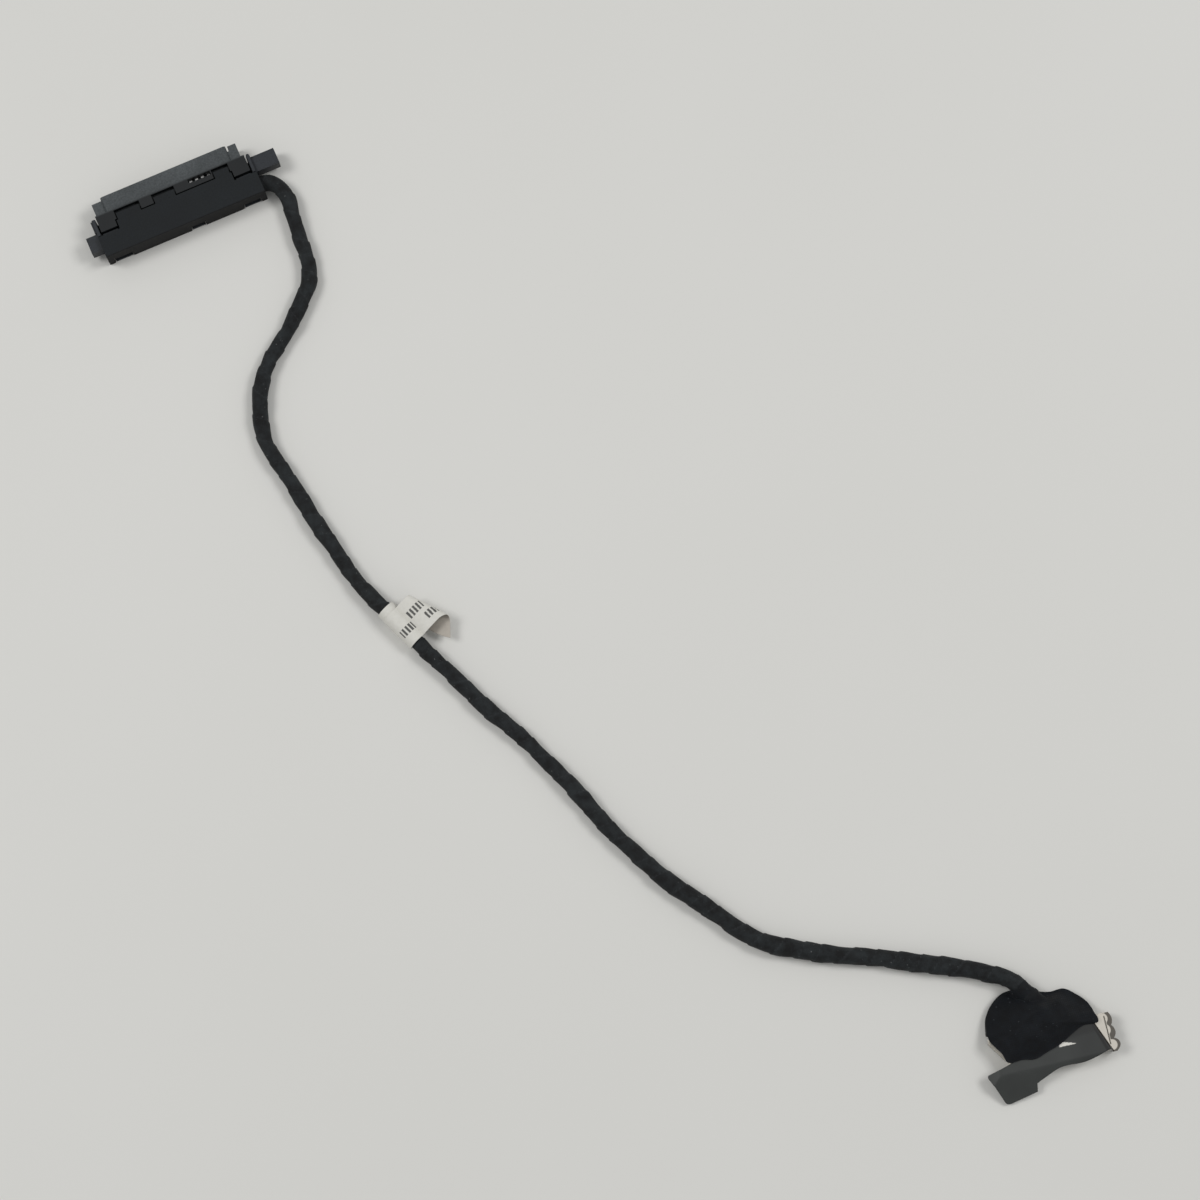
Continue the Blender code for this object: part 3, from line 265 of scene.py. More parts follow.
def skin(name, grid, round_and_round=False, ends=False, flip=False):
    """A mesh on a grid of points. Each square of four neighbours is a face, the last column joins
    the first if it goes round and round, and each open end can close in a fan on its middle. Flip
    turns every face over."""
    rows, columns = grid.shape[:2]
    points = grid.reshape(-1, 3)
    numbers = np.arange(rows * columns).reshape(rows, columns)
    if round_and_round:
        numbers = np.hstack([numbers, numbers[:, :1]])
    quads = np.stack(
        [numbers[:-1, :-1], numbers[:-1, 1:], numbers[1:, 1:], numbers[1:, :-1]], axis=-1
    )
    faces = [quads.reshape(-1, 4)]
    fans = []
    if ends:
        points = np.vstack([points, grid[0].mean(axis=0), grid[-1].mean(axis=0)])
        first, last = rows * columns, rows * columns + 1
        ring = numbers[0]
        fans.append(np.stack([ring[1:], ring[:-1], np.full(columns, first)], axis=-1))
        ring = numbers[-1]
        fans.append(np.stack([ring[:-1], ring[1:], np.full(columns, last)], axis=-1))
    polygons = [face[::-1] if flip else face for block in faces + fans for face in block.tolist()]
    mesh = bpy.data.meshes.new(name)
    mesh.from_pydata(points, [], polygons)
    mesh.shade_smooth()
    piece = bpy.data.objects.new(name, mesh)
    bpy.context.scene.collection.objects.link(piece)
    return piece


def point_values(piece, name, values):
    """Keeps one number for each point of a mesh, for its material to read."""
    layer = piece.data.attributes.new(name, "FLOAT", "POINT")
    layer.data.foreach_set("value", np.asarray(values, np.float32))


def lay_map(piece, u, v):
    """Gives a mesh a UV map from two numbers at each point, in metres along and across it."""
    corner = np.zeros(len(piece.data.loops), np.int32)
    piece.data.loops.foreach_get("vertex_index", corner)
    layer = piece.data.uv_layers.new(name="laid")
    pairs = np.stack([u[corner], v[corner]], axis=1)
    layer.data.foreach_set("uv", pairs.ravel().astype(np.float32))


def rise(value, low, high):
    """0 below low, 1 above high, and a smooth cubic between."""
    share = np.clip((value - low) / (high - low), 0, 1)
    return share * share * (3 - 2 * share)


def rings(middle, sideways, above, reach):
    """Rings of points round a line. At each angle a point lies the reach times the angle's cosine
    sideways and times its sine upwards, and none lies lower than the surface."""
    points = (
        middle[:, None, :]
        + sideways[:, None, :] * (reach * np.cos(angle))[..., None]
        + above[:, None, :] * (reach * np.sin(angle))[..., None]
    )
    points[..., 2] = np.maximum(points[..., 2], LEAST_HEIGHT)
    return points


distance, line = walk(smooth_line(CABLE_ROUTE * MM), RING_STEP)
cable_length = distance[-1]
radius = START_RADIUS + RADIUS_GAIN * rise(distance, 0.55 * cable_length, 0.8 * cable_length)
line[:, 2] -= ROUTE_HEIGHT - radius
# The last few millimetres bend over into the pouch
bent = rise(distance, cable_length - END_BEND_LENGTH, cable_length + MM)
line[:, :2] += bent[:, None] * END_BEND
along, sideways, above = directions(line)
angle = np.linspace(0, 2 * np.pi, RING_SIDES, endpoint=False)[None, :]
run = distance[:, None] / MM
# Each turn's share goes from 0 at its raised edge to 1 at the next, and the turns are uneven
uneven = 0.16 * np.sin(run / 3.7) + 0.11 * np.sin(run / 1.9 + 1)
turn_share = (distance[:, None] / TAPE_ADVANCE + angle / (2 * np.pi) + uneven) % 1.0
lap = TAPE_STEP * (1 - turn_share) * rise(turn_share, 0.0, 0.05)
# Lumps and fine creases in millimetres, each a wave along the cable and round it
bunch = (
    0.09 * np.sin(run / 2.7 + angle)
    + 0.06 * np.sin(run / 1.3 - 2 * angle)
    + 0.08 * np.sin(run / 4.1 + 0.7)
)
crease = 0.035 * np.sin(5 * angle + run / 0.8) * np.sin(run / 2.1)
reach = radius[:, None] - UNDER_TAPE + lap + (bunch + crease) * MM
cable = skin(
    "tape_wound_cable", rings(line, sideways, above, reach), round_and_round=True, ends=True
)
# The last two numbers of each row are for the points that close the ends
point_values(cable, "lap", np.r_[turn_share.ravel(), 0.5, 0.5])
lay_map(
    cable,
    np.r_[(distance[:, None] - angle * TAPE_ADVANCE / (2 * np.pi)).ravel(), 0.0, 0.0],
    np.r_[(radius[:, None] * angle).ravel(), 0.0, 0.0],
)

# Acetate cloth tape: a fine plain weave, coated black. It scatters light evenly, holds specks of
# lint, and has a painted highlight along each lap's raised edge. Its threads lie about 0.2 mm
# apart, too fine to show here, so the weave is drawn coarser. A wave pattern of scale 1 repeats
# every
# 0.314.
THREAD = 0.42 * MM
WAVE_LENGTH = 0.314


def cloth_tape(name, low, high, edge_highlight, lint_tone, roughness, specular):
    """Woven tape between two tones, with a painted highlight at each lap's edge and specks of
    lint.
    """
    material, tree, shader = new_material(name, low, roughness)
    shader.inputs["Specular IOR Level"].default_value = specular
    shader.inputs["Sheen Weight"].default_value = 0.03
    shader.inputs["Sheen Roughness"].default_value = 0.5
    laid = add(tree, "ShaderNodeUVMap", settings={"uv_map": "laid"})
    place = add(tree, "ShaderNodeTexCoord")
    warp, weft = (
        add(
            tree,
            "ShaderNodeTexWave",
            settings={"bands_direction": way},
            values={"Scale": WAVE_LENGTH / THREAD, "Distortion": 1.2},
            links={"Vector": (laid, 0)},
        )
        for way in "XY"
    )
    weave = add(
        tree,
        "ShaderNodeMath",
        settings={"operation": "MULTIPLY"},
        links={0: (warp, "Fac"), 1: (weft, "Fac")},
    )
    fade = add(
        tree,
        "ShaderNodeTexNoise",
        values={"Scale": 1 / (2.2 * MM), "Detail": 5.0, "Roughness": 0.65},
        links={"Vector": (place, "Object")},
    )
    rubbed = add(
        tree,
        "ShaderNodeMapRange",
        values={"From Min": 0.36, "From Max": 0.66},
        links={"Value": (fade, "Fac")},
    )
    dull = add(
        tree,
        "ShaderNodeMix",
        settings={"data_type": "RGBA"},
        values={6: colour(low), 7: colour(high)},
        links={0: (rubbed, 0)},
    )
    # A painted highlight along each lap's raised edge, strongest at the edge and gone a little
    # past it
    lap_at = add(tree, "ShaderNodeAttribute", settings={"attribute_name": "lap"})
    edge = add(
        tree,
        "ShaderNodeMapRange",
        values={"From Min": 0.0, "From Max": 0.12, "To Min": 0.5, "To Max": 0.0},
        links={"Value": (lap_at, "Fac")},
    )
    lap_highlight = add(
        tree,
        "ShaderNodeMix",
        settings={"data_type": "RGBA"},
        values={7: colour(edge_highlight)},
        links={0: (edge, 0), 6: (dull, 2)},
    )
    lint = add(
        tree,
        "ShaderNodeTexNoise",
        values={"Scale": 1 / (0.5 * MM), "Detail": 1.0},
        links={"Vector": (place, "Object")},
    )
    speck = add(
        tree,
        "ShaderNodeMapRange",
        values={"From Min": 0.74, "From Max": 0.8, "To Min": 0.0, "To Max": 0.6},
        links={"Value": (lint, "Fac")},
    )
    linted = add(
        tree,
        "ShaderNodeMix",
        settings={"data_type": "RGBA"},
        values={7: colour(lint_tone)},
        links={0: (speck, 0), 6: (lap_highlight, 2)},
    )
    tree.links.new(linted.outputs[2], shader.inputs["Base Color"])
    bump = add(
        tree,
        "ShaderNodeBump",
        values={"Strength": 0.5, "Distance": 0.06 * MM},
        links={"Height": (weave, 0)},
    )
    tree.links.new(bump.outputs[0], shader.inputs["Normal"])
    return material


tape = cloth_tape("acetate cloth tape", "#0B0C0E", "#222628", "#34373A", "#6A6C6B", 0.82, 0.28)
cable.data.materials.append(tape)
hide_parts("cable_sleeve")
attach(cable, "root")


# The receptacle. One moulding of glass-filled nylon that mates with the drive: a nose with a
# keyed slot for each contact group, shoulders, and a flange with pockets for the cover's tongues.
def speckled(name, dark, pale, grain, roughness, relief, specular=0.5, behind=None):
    """A spark-eroded moulded plastic: noise between two tones, with the same grain as relief. The
    real grain is a few hundredths of a millimetre, too fine to show, and is drawn coarser. Where
    behind gives a tone and two places in Y, the plastic goes over to that painted shade between
    them."""
    material, tree, shader = new_material(name, dark, roughness)
    shader.inputs["Specular IOR Level"].default_value = specular
    place = add(tree, "ShaderNodeTexCoord")
    grit = add(
        tree,
        "ShaderNodeTexNoise",
        values={"Scale": 1 / grain, "Detail": 2.0, "Roughness": 0.6},
        links={"Vector": (place, "Object")},
    )
    cloud = add(
        tree,
        "ShaderNodeTexNoise",
        values={"Scale": 1 / (9 * MM), "Detail": 3.0},
        links={"Vector": (place, "Object")},
    )
    both = add(
        tree,
        "ShaderNodeMath",
        settings={"operation": "MULTIPLY"},
        links={0: (grit, "Fac"), 1: (cloud, "Fac")},
    )
    share = add(
        tree,
        "ShaderNodeMapRange",
        values={"From Min": 0.12, "From Max": 0.42},
        links={"Value": (both, 0)},
    )
    tone = add(
        tree,
        "ShaderNodeMix",
        settings={"data_type": "RGBA"},
        values={6: colour(dark), 7: colour(pale)},
        links={0: (share, 0)},
    )
    if behind:
        shade, low, high = behind
        apart = add(tree, "ShaderNodeSeparateXYZ", links={0: (place, "Object")})
        back = add(
            tree,
            "ShaderNodeMapRange",
            values={"From Min": low, "From Max": high, "To Min": 1.0, "To Max": 0.0},
            links={"Value": (apart, "Y")},
        )
        tone = add(
            tree,
            "ShaderNodeMix",
            settings={"data_type": "RGBA"},
            values={7: colour(shade)},
            links={0: (back, 0), 6: (tone, 2)},
        )
    tree.links.new(tone.outputs[2], shader.inputs["Base Color"])
    gloss = add(
        tree,
        "ShaderNodeMapRange",
        values={"To Min": roughness - 0.08, "To Max": roughness + 0.1},
        links={"Value": (cloud, "Fac")},
    )
    tree.links.new(gloss.outputs[0], shader.inputs["Roughness"])
    bump = add(
        tree,
        "ShaderNodeBump",
        values={"Strength": 0.35, "Distance": relief},
        links={"Height": (grit, "Fac")},
    )
    tree.links.new(bump.outputs[0], shader.inputs["Normal"])
    return material


def dress(material, *names):
    """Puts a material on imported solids."""
    for name in names:
        solids[name].data.materials.clear()
        solids[name].data.materials.append(material)


# The flange behind the nose is painted in shade, darker than the nose
nylon = speckled(
    "glass-filled nylon",
    "#34383A",
    "#4E5254",
    grain=0.35 * MM,
    roughness=0.6,
    relief=0.03 * MM,
    specular=0.35,
    behind=("#0B0F13", 2.4 * MM, 2.8 * MM),
)
dress(nylon, "receptacle")


# The contacts. Thirteen strips of phosphor bronze, stamped and bent, gold where they meet the
# drive and pale tin at the tails that the wires are soldered to.
GOLD = "#D8B566"
TIN = "#F4F4F2"
TIN_TO, GOLD_FROM = 3.2 * MM, 3.6 * MM
bronze, tree, shader = new_material("plated phosphor bronze", GOLD, 0.28, 1.0)
place = add(tree, "ShaderNodeTexCoord")
apart = add(tree, "ShaderNodeSeparateXYZ", links={0: (place, "Object")})
plating = add(
    tree,
    "ShaderNodeMapRange",
    values={"From Min": TIN_TO, "From Max": GOLD_FROM},
    links={"Value": (apart, "Y")},
)
plated = add(
    tree,
    "ShaderNodeMix",
    settings={"data_type": "RGBA"},
    values={6: colour(TIN), 7: colour(GOLD)},
    links={0: (plating, 0)},
)
tree.links.new(plated.outputs[2], shader.inputs["Base Color"])
scuff = add(
    tree,
    "ShaderNodeTexNoise",
    values={"Scale": 1 / (0.8 * MM), "Detail": 3.0},
    links={"Vector": (place, "Object")},
)
gloss = add(
    tree,
    "ShaderNodeMapRange",
    values={"To Min": 0.18, "To Max": 0.42},
    links={"Value": (scuff, "Fac")},
)
tree.links.new(gloss.outputs[0], shader.inputs["Roughness"])
# Soldered tin is duller than the gold and mirrors much less
metal = add(
    tree,
    "ShaderNodeMapRange",
    values={"To Min": 0.15, "To Max": 1.0},
    links={"Value": (plating, 0)},
)
tree.links.new(metal.outputs[0], shader.inputs["Metallic"])
dress(bronze, *(name for name in solids if "_contact_" in name))


# The inner wires. Stranded copper in a thin glossy black fluoropolymer skin; they run from the
# contacts to the cable inside the closed housing.
skin_plastic, tree, shader = new_material("fluoropolymer wire skin", "#1C1D20", 0.35)
place = add(tree, "ShaderNodeTexCoord")
haze = add(
    tree,
    "ShaderNodeTexNoise",
    values={"Scale": 1 / (2 * MM)},
    links={"Vector": (place, "Object")},
)
gloss = add(
    tree,
    "ShaderNodeMapRange",
    values={"To Min": 0.28, "To Max": 0.45},
    links={"Value": (haze, "Fac")},
)
tree.links.new(gloss.outputs[0], shader.inputs["Roughness"])
dress(
    skin_plastic,
    *(name for name in solids if name.startswith("wire_") and name != "wire_housing"),
)


# The wire housing and its snap cover. Two thin mouldings of black polyester plastic with a fine
# even texture, faintly blue; the cover is a shade darker and duller, and its back wall is painted
# in shade.
tray = speckled(
    "polyester tray moulding",
    "#181B1F",
    "#272B31",
    grain=0.3 * MM,
    roughness=0.5,
    relief=0.02 * MM,
    specular=0.35,
)
dress(tray, "wire_housing")
cover = speckled(
    "polyester cover moulding",
    "#101316",
    "#1C2023",
    grain=0.3 * MM,
    roughness=0.72,
    relief=0.02 * MM,
    specular=0.25,
    behind=("#050608", -6.0 * MM, -5.8 * MM),
)
dress(cover, "snap_cover")


# The label. A strip of self-adhesive paper wound nearly one and a half times round the cable, each
# turn a little further along. Its free end is creased off the wrap as a flag and rolls over and
# under, more widely towards the board end.
STRIP_WIDTH = 7.7 * MM
STRIP_SHIFT = 1.5 * MM
LABEL_AT_POINT = 20
LABEL_BACK = 0.35 * MM
PAPER_RADIUS = 2.05 * MM
FLAG_FROM = math.radians(43)
WOUND = math.radians(500)
TURN_LAP = 0.14 * MM
FLAG_LENGTH, FLAG_GAIN = 8.4 * MM, 3.3 * MM
FLARE, FLARE_FROM = 0.2, 4.4 * MM
FOLD_FROM = np.array([1.8, 2.35]) * MM
FOLD_TURN = math.radians(17.5)
ROLL_RADIUS, ROLL_LOSS = 1.35 * MM, 0.15 * MM
ROLLED, ROLLED_GAIN = 150, 30
LIFT, LIFT_GAIN, LIFT_LENGTH = 1.15 * MM, 0.25 * MM, 1.8 * MM
PAPER_THICKNESS = 0.12 * MM
PAPER_LEAST_HEIGHT = 0.1 * MM
share_along = np.linspace(0, 1, 96)[:, None]
across_strip = share_along * STRIP_WIDTH
wound = np.linspace(0, WOUND, 240)[None, :]
second_turn = rise(wound, 0.33 * WOUND, 0.75 * WOUND)
wrap_angle = FLAG_FROM + WOUND - wound
wrap_radius = PAPER_RADIUS - TURN_LAP * (1 - second_turn)
wrap_grid = np.stack(
    [
        across_strip + STRIP_SHIFT * second_turn,
        wrap_radius * np.cos(wrap_angle) + 0 * across_strip,
        wrap_radius * np.sin(wrap_angle) + 0 * across_strip,
    ],
    axis=-1,
)
# The flag is a sheet that flares towards the board end, with a slanting fold line. What lies
# beyond the line goes round a roll, by an angle of its distance over the roll's radius, then
# straight on.
flag_length = FLAG_LENGTH + FLAG_GAIN * (1 - (1 - share_along) ** 2)
out = flag_length * np.linspace(0, 1, 131)[None, 1:]
flared = FLARE * share_along * np.maximum(out - FLARE_FROM, 0)
sheet_along = STRIP_SHIFT + across_strip + flared
fold_along, fold_out = math.cos(FOLD_TURN), math.sin(FOLD_TURN)
before = (sheet_along - FOLD_FROM[0]) * fold_along + (out - FOLD_FROM[1]) * fold_out
beyond = (out - FOLD_FROM[1]) * fold_along - (sheet_along - FOLD_FROM[0]) * fold_out
roll = ROLL_RADIUS - ROLL_LOSS * share_along
most = np.radians(ROLLED + ROLLED_GAIN * share_along)
turned_by = np.clip(beyond / roll, 0, most)
left_over = np.maximum(beyond - roll * most, 0)
reached = np.minimum(beyond, 0) + roll * np.sin(turned_by) + left_over * np.cos(most)
dropped = roll * (1 - np.cos(turned_by)) + left_over * np.sin(most)
lifted = (LIFT + LIFT_GAIN * share_along) * (1 - np.exp(-out / LIFT_LENGTH))
flag_grid = np.stack(
    [
        FOLD_FROM[0] + before * fold_along - reached * fold_out,
        PAPER_RADIUS * math.cos(FLAG_FROM)
        + FOLD_FROM[1]
        + before * fold_out
        + reached * fold_along,
        PAPER_RADIUS * math.sin(FLAG_FROM) + lifted - dropped,
    ],
    axis=-1,
)
strip = np.concatenate([wrap_grid, flag_grid], axis=1)
nearest = int(np.argmin(np.linalg.norm(line - CABLE_ROUTE[LABEL_AT_POINT] * MM, axis=1)))
lean = along[nearest].copy()
lean[2] = 0
lean /= np.linalg.norm(lean)
beside = np.cross([0.0, 0.0, 1.0], lean)
paper_grid = (
    line[nearest]
    + lean * (strip[..., :1] - (STRIP_WIDTH + STRIP_SHIFT) / 2 - LABEL_BACK)
    + beside * strip[..., 1:2]
    + np.array([0.0, 0.0, 1.0]) * strip[..., 2:]
)
paper_grid[..., 2] = np.maximum(paper_grid[..., 2], PAPER_LEAST_HEIGHT)
label = skin("paper_label", paper_grid, flip=True)
laid_out = np.concatenate([PAPER_RADIUS * (wound - WOUND) + 0 * across_strip, out], axis=1)
laid_along = across_strip + 0 * laid_out
lay_map(label, laid_out.ravel(), laid_along.ravel())

# The print is three rows of plain upright bars. Each row has its middle along the cable, its start
# and its end, in millimetres.
PRINT_ROWS = ((4.8, -3.3, 0.1), (3.05, 0.6, 4.2), (5.6, 3.0, 5.8))
BAR_HALF_HEIGHT = 0.8 * MM
BAR_PITCH = 0.82 * MM
BAR_EDGE = -0.2
bars = np.cos(laid_out * 2 * np.pi / BAR_PITCH) > BAR_EDGE
printed = 0 * laid_out
for row, first, last in PRINT_ROWS:
    in_row = (laid_out > first * MM) & (laid_out < last * MM)
    in_row = in_row & (np.abs(laid_along - row * MM) < BAR_HALF_HEIGHT)
    printed = np.maximum(printed, in_row * bars)
point_values(label, "printed", printed.ravel())
thick = label.modifiers.new("paper", "SOLIDIFY")
thick.thickness = PAPER_THICKNESS
thick.offset = 0.0
thick.material_offset = 1


# Coated label paper: off-white with a faint fibre mottle, drawn coarser than it is so that it
# shows, and grey-black print. Its back is painted a darker beige, as painted shade on the flag's
# underside.
INK = "#2B2C2C"


def label_paper(name, low, high, print_share):
    """Coated paper: a fine mottle between two tones, printed where the piece's points say so."""
    material, tree, shader = new_material(name, low, 0.6)
    place = add(tree, "ShaderNodeTexCoord")
    fibre = add(
        tree,
        "ShaderNodeTexNoise",
        values={"Scale": 1 / (0.6 * MM), "Detail": 4.0},
        links={"Vector": (place, "Object")},
    )
    mottle = add(
        tree,
        "ShaderNodeMix",
        settings={"data_type": "RGBA"},
        values={6: colour(low), 7: colour(high)},
        links={0: (fibre, "Fac")},
    )
    print_at = add(tree, "ShaderNodeAttribute", settings={"attribute_name": "printed"})
    covered = add(
        tree,
        "ShaderNodeMath",
        settings={"operation": "MULTIPLY"},
        values={1: print_share},
        links={0: (print_at, "Fac")},
    )
    inked = add(
        tree,
        "ShaderNodeMix",
        settings={"data_type": "RGBA"},
        values={7: colour(INK)},
        links={0: (covered, 0), 6: (mottle, 2)},
    )
    tree.links.new(inked.outputs[2], shader.inputs["Base Color"])
    bump = add(
        tree,
        "ShaderNodeBump",
        values={"Strength": 0.2, "Distance": 0.03 * MM},
        links={"Height": (fibre, "Fac")},
    )
    tree.links.new(bump.outputs[0], shader.inputs["Normal"])
    return material


label.data.materials.append(label_paper("coated label paper", "#C9C7BF", "#D8D6CF", 0.92))
# The back's darker beige is painted shade
label.data.materials.append(label_paper("label back in painted shade", "#A59E94", "#B4ADA2", 0.0))
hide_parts("label_flag")
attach(label, "root")


# The board connector. A small off-white moulding with a cell for each contact, and a stamped
# tin-plated steel cover whose ends are waved into springs that grip the header.
polymer = speckled(
    "liquid crystal polymer",
    "#D2CCC1",
    "#DFDAD0",
    grain=0.3 * MM,
    roughness=0.45,
    relief=0.015 * MM,
)
dress(polymer, "board_housing")
STEEL = "#BEBAB3"
STEEL_IN_SHADE = "#3A3733"
steel, tree, shader = new_material("tin-plated steel", STEEL, 0.55, 1.0)
place = add(tree, "ShaderNodeTexCoord")
rolled = add(
    tree,
    "ShaderNodeMapping",
    values={"Scale": (1.0, 8.0, 1.0)},
    links={"Vector": (place, "Object")},
)
grain = add(
    tree,
    "ShaderNodeTexNoise",
    values={"Scale": 1 / (1.6 * MM), "Detail": 4.0},
    links={"Vector": (rolled, 0)},
)
gloss = add(
    tree,
    "ShaderNodeMapRange",
    values={"To Min": 0.48, "To Max": 0.64},
    links={"Value": (grain, "Fac")},
)
tree.links.new(gloss.outputs[0], shader.inputs["Roughness"])

# The springs' outer borders turn down, and painted shade darkens them. Each is the outside of a
# circle, given by its middle and radius in millimetres in the board end's own frame, seen flat,
# and starts beyond the cover's slit.
BOARD_PLACE = np.array([90.1, -223.4]) * MM
BOARD_TURN = math.radians(-11.0)
SPRINGS = ((9.2, 2.3, 1.25), (9.2, 0.1, 1.3), (9.9, -2.9, 1.2))
BORDER_FROM, BORDER_FULL = -0.22 * MM, -0.1 * MM
SLIT_FROM, SLIT_TO = 9.82 * MM, 9.95 * MM
framed = add(
    tree,
    "ShaderNodeMapping",
    settings={"vector_type": "TEXTURE"},
    values={"Location": (*BOARD_PLACE, 0.0), "Rotation": (0.0, 0.0, BOARD_TURN)},
    links={"Vector": (place, "Object")},
)
seen_flat = add(
    tree,
    "ShaderNodeVectorMath",
    settings={"operation": "MULTIPLY"},
    values={1: (1.0, 1.0, 0.0)},
    links={0: (framed, 0)},
)
outside = None
for middle_x, middle_y, spring_radius in SPRINGS:
    apart = add(
        tree,
        "ShaderNodeVectorMath",
        settings={"operation": "DISTANCE"},
        values={1: (middle_x * MM, middle_y * MM, 0.0)},
        links={0: (seen_flat, 0)},
    )
    past = add(
        tree,
        "ShaderNodeMath",
        settings={"operation": "SUBTRACT"},
        values={1: spring_radius * MM},
        links={0: (apart, "Value")},
    )
    if outside is not None:
        past = add(
            tree,
            "ShaderNodeMath",
            settings={"operation": "MINIMUM"},
            links={0: (outside, 0), 1: (past, 0)},
        )
    outside = past
at_border = add(
    tree,
    "ShaderNodeMapRange",
    values={"From Min": BORDER_FROM, "From Max": BORDER_FULL, "To Min": 0.0, "To Max": 0.85},
    links={"Value": (outside, 0)},
)
apart = add(tree, "ShaderNodeSeparateXYZ", links={0: (seen_flat, 0)})
past_slit = add(
    tree,
    "ShaderNodeMapRange",
    values={"From Min": SLIT_FROM, "From Max": SLIT_TO},
    links={"Value": (apart, "X")},
)
shaded = add(
    tree,
    "ShaderNodeMath",
    settings={"operation": "MULTIPLY"},
    links={0: (at_border, 0), 1: (past_slit, 0)},
)
# A painted shadow, as of a narrow gap, runs along the film's right end: a line square to a
# direction, at a distance along it
GAP_ACROSS = (0.927, 0.374, 0.0)
GAP_AT, GAP_HALF_WIDTH = 7.6 * MM, 0.18 * MM
over_line = add(
    tree,
    "ShaderNodeVectorMath",
    settings={"operation": "DOT_PRODUCT"},
    values={1: GAP_ACROSS},
    links={0: (seen_flat, 0)},
)
film_gap_shadow = add(
    tree,
    "ShaderNodeMath",
    settings={"operation": "COMPARE"},
    values={1: GAP_AT, 2: GAP_HALF_WIDTH},
    links={0: (over_line, "Value")},
)
shaded = add(
    tree,
    "ShaderNodeMath",
    settings={"operation": "MAXIMUM"},
    links={0: (shaded, 0), 1: (film_gap_shadow, 0)},
)
tinned = add(
    tree,
    "ShaderNodeMix",
    settings={"data_type": "RGBA"},
    values={6: colour(STEEL), 7: colour(STEEL_IN_SHADE)},
    links={0: (shaded, 0)},
)
tree.links.new(tinned.outputs[2], shader.inputs["Base Color"])
dress(steel, "board_cover")


# The tape pouch. Black acetate tape folded over the fanned wires and pressed together at its
# rim; it swells over the wires and lies in soft folds that run from the cable's end.

# Its sizes are in the board end's frame in millimetres. The outline's third number is 1 where the
# rim lies over the connector and 0 where it lies low.
POUCH_OUTLINE = np.array(
    [
        (-7.4, 11.4, 0),
        (-10.2, 9.9, 0),
        (-12.2, 7.4, 0),
        (-12.9, 4.7, 0.4),
        (-13.0, 3.6, 0.6),
        (-12.8, 2.5, 0.9),
        (-12.05, 1.3, 1),
        (-11.2, 0.0, 1),
        (-10.4, -1.9, 1),
        (-7.6, -1.9, 1),
        (-5.2, -2.3, 1),
        (-2.6, -1.5, 1),
        (0.2, -0.6, 1),
        (3.0, 0.9, 1),
        (5.4, 1.9, 1),
        (7.9, 1.8, 1),
        (8.4, 2.5, 1),
        (8.05, 3.8, 0.8),
        (7.9, 5.0, 0.3),
        (7.3, 6.4, 0),
        (5.7, 8.1, 0),
        (3.6, 9.6, 0),
        (0.6, 9.6, 0),
        (-3.5, 10.8, 0),
    ]
)
POUCH_CENTRE = np.array([-2.5, 4.2])
RIM_POINTS = 14
LOW_RIM, HIGH_RIM, CROWN = 1.5, 4.0, 6.1
HUG_RADIUS, HUG_BLEND = 1.95, 0.12
STEP_FROM, STEP_TO = 3.7, 3.95
UNDER_CONNECTOR, UNDER_WIRES, LEAST_TAPE = 3.75, 0.05, 0.2


def turned(x, y, by):
    """A flat place or direction turned by an angle: x cos - y sin and x sin + y cos."""
    c, n = math.cos(by), math.sin(by)
    return x * c - y * n, x * n + y * c


def to_board(points):
    """Turns points of the board end's own frame, in millimetres, into the model's frame."""
    placed = np.empty_like(points)
    x, y = turned(points[..., 0], points[..., 1], BOARD_TURN)
    placed[..., 0] = BOARD_PLACE[0] + x * MM
    placed[..., 1] = BOARD_PLACE[1] + y * MM
    placed[..., 2] = points[..., 2] * MM
    return placed


# The outline runs on by two points at each end, so that the curve closes smoothly
around = np.vstack([POUCH_OUTLINE[-2:], POUCH_OUTLINE, POUCH_OUTLINE[:2]])
ring = smooth_line(around, RIM_POINTS)[2 * RIM_POINTS : -RIM_POINTS - 1]
share = np.r_[np.linspace(0.02, 0.9, 60), np.linspace(0.91, 1.0, 10)][:, None]
flat = POUCH_CENTRE + (ring[None, :, :2] - POUCH_CENTRE) * share[..., None]
over = np.clip(ring[None, :, 2], 0, 1)
rim = LOW_RIM + over * (HIGH_RIM - LOW_RIM)
x, y = flat[..., 0], flat[..., 1]
swell = (CROWN - rim) * (1 - rise(share, 0.3, 0.98)) ** 0.8

# Soft folds run out from where the cable goes in, and the tape hugs the cable's end there: its
# height is the cable's own round top, faded out along the cable's direction
into = along[-1, :2] / np.linalg.norm(along[-1, :2])
end_at = (line[-1, :2] - BOARD_PLACE) / MM
end_x, end_y = turned(*end_at, -BOARD_TURN)
into_x, into_y = turned(*into, -BOARD_TURN)
way_in = (x - end_x) * into_x + (y - end_y) * into_y
way_off = (x - end_x) * into_y - (y - end_y) * into_x
from_end = np.hypot(way_in, way_off)
fan = np.arctan2(way_off, way_in)
folds = 0.2 * np.sin(7 * fan + 0.5 * np.sin(0.9 * from_end))
folds = folds * rise(from_end, 1.5, 5) * (1 - rise(from_end, 9, 15))
folds = folds + 0.07 * np.sin(1.7 * x + 0.6 * y) + 0.05 * np.sin(1.1 * x - 2.3 * y + 1.0)
top = rim + swell + folds * (1 - share**4)
hug = line[-1, 2] / MM + np.sqrt(np.maximum(HUG_RADIUS**2 - way_off**2, 0))
hug = hug - 0.12 * np.maximum(way_in, 0) ** 1.5
hug = np.where(np.abs(way_off) < HUG_RADIUS, hug, 0) * (1 - rise(way_in, 4.5, 7.0))
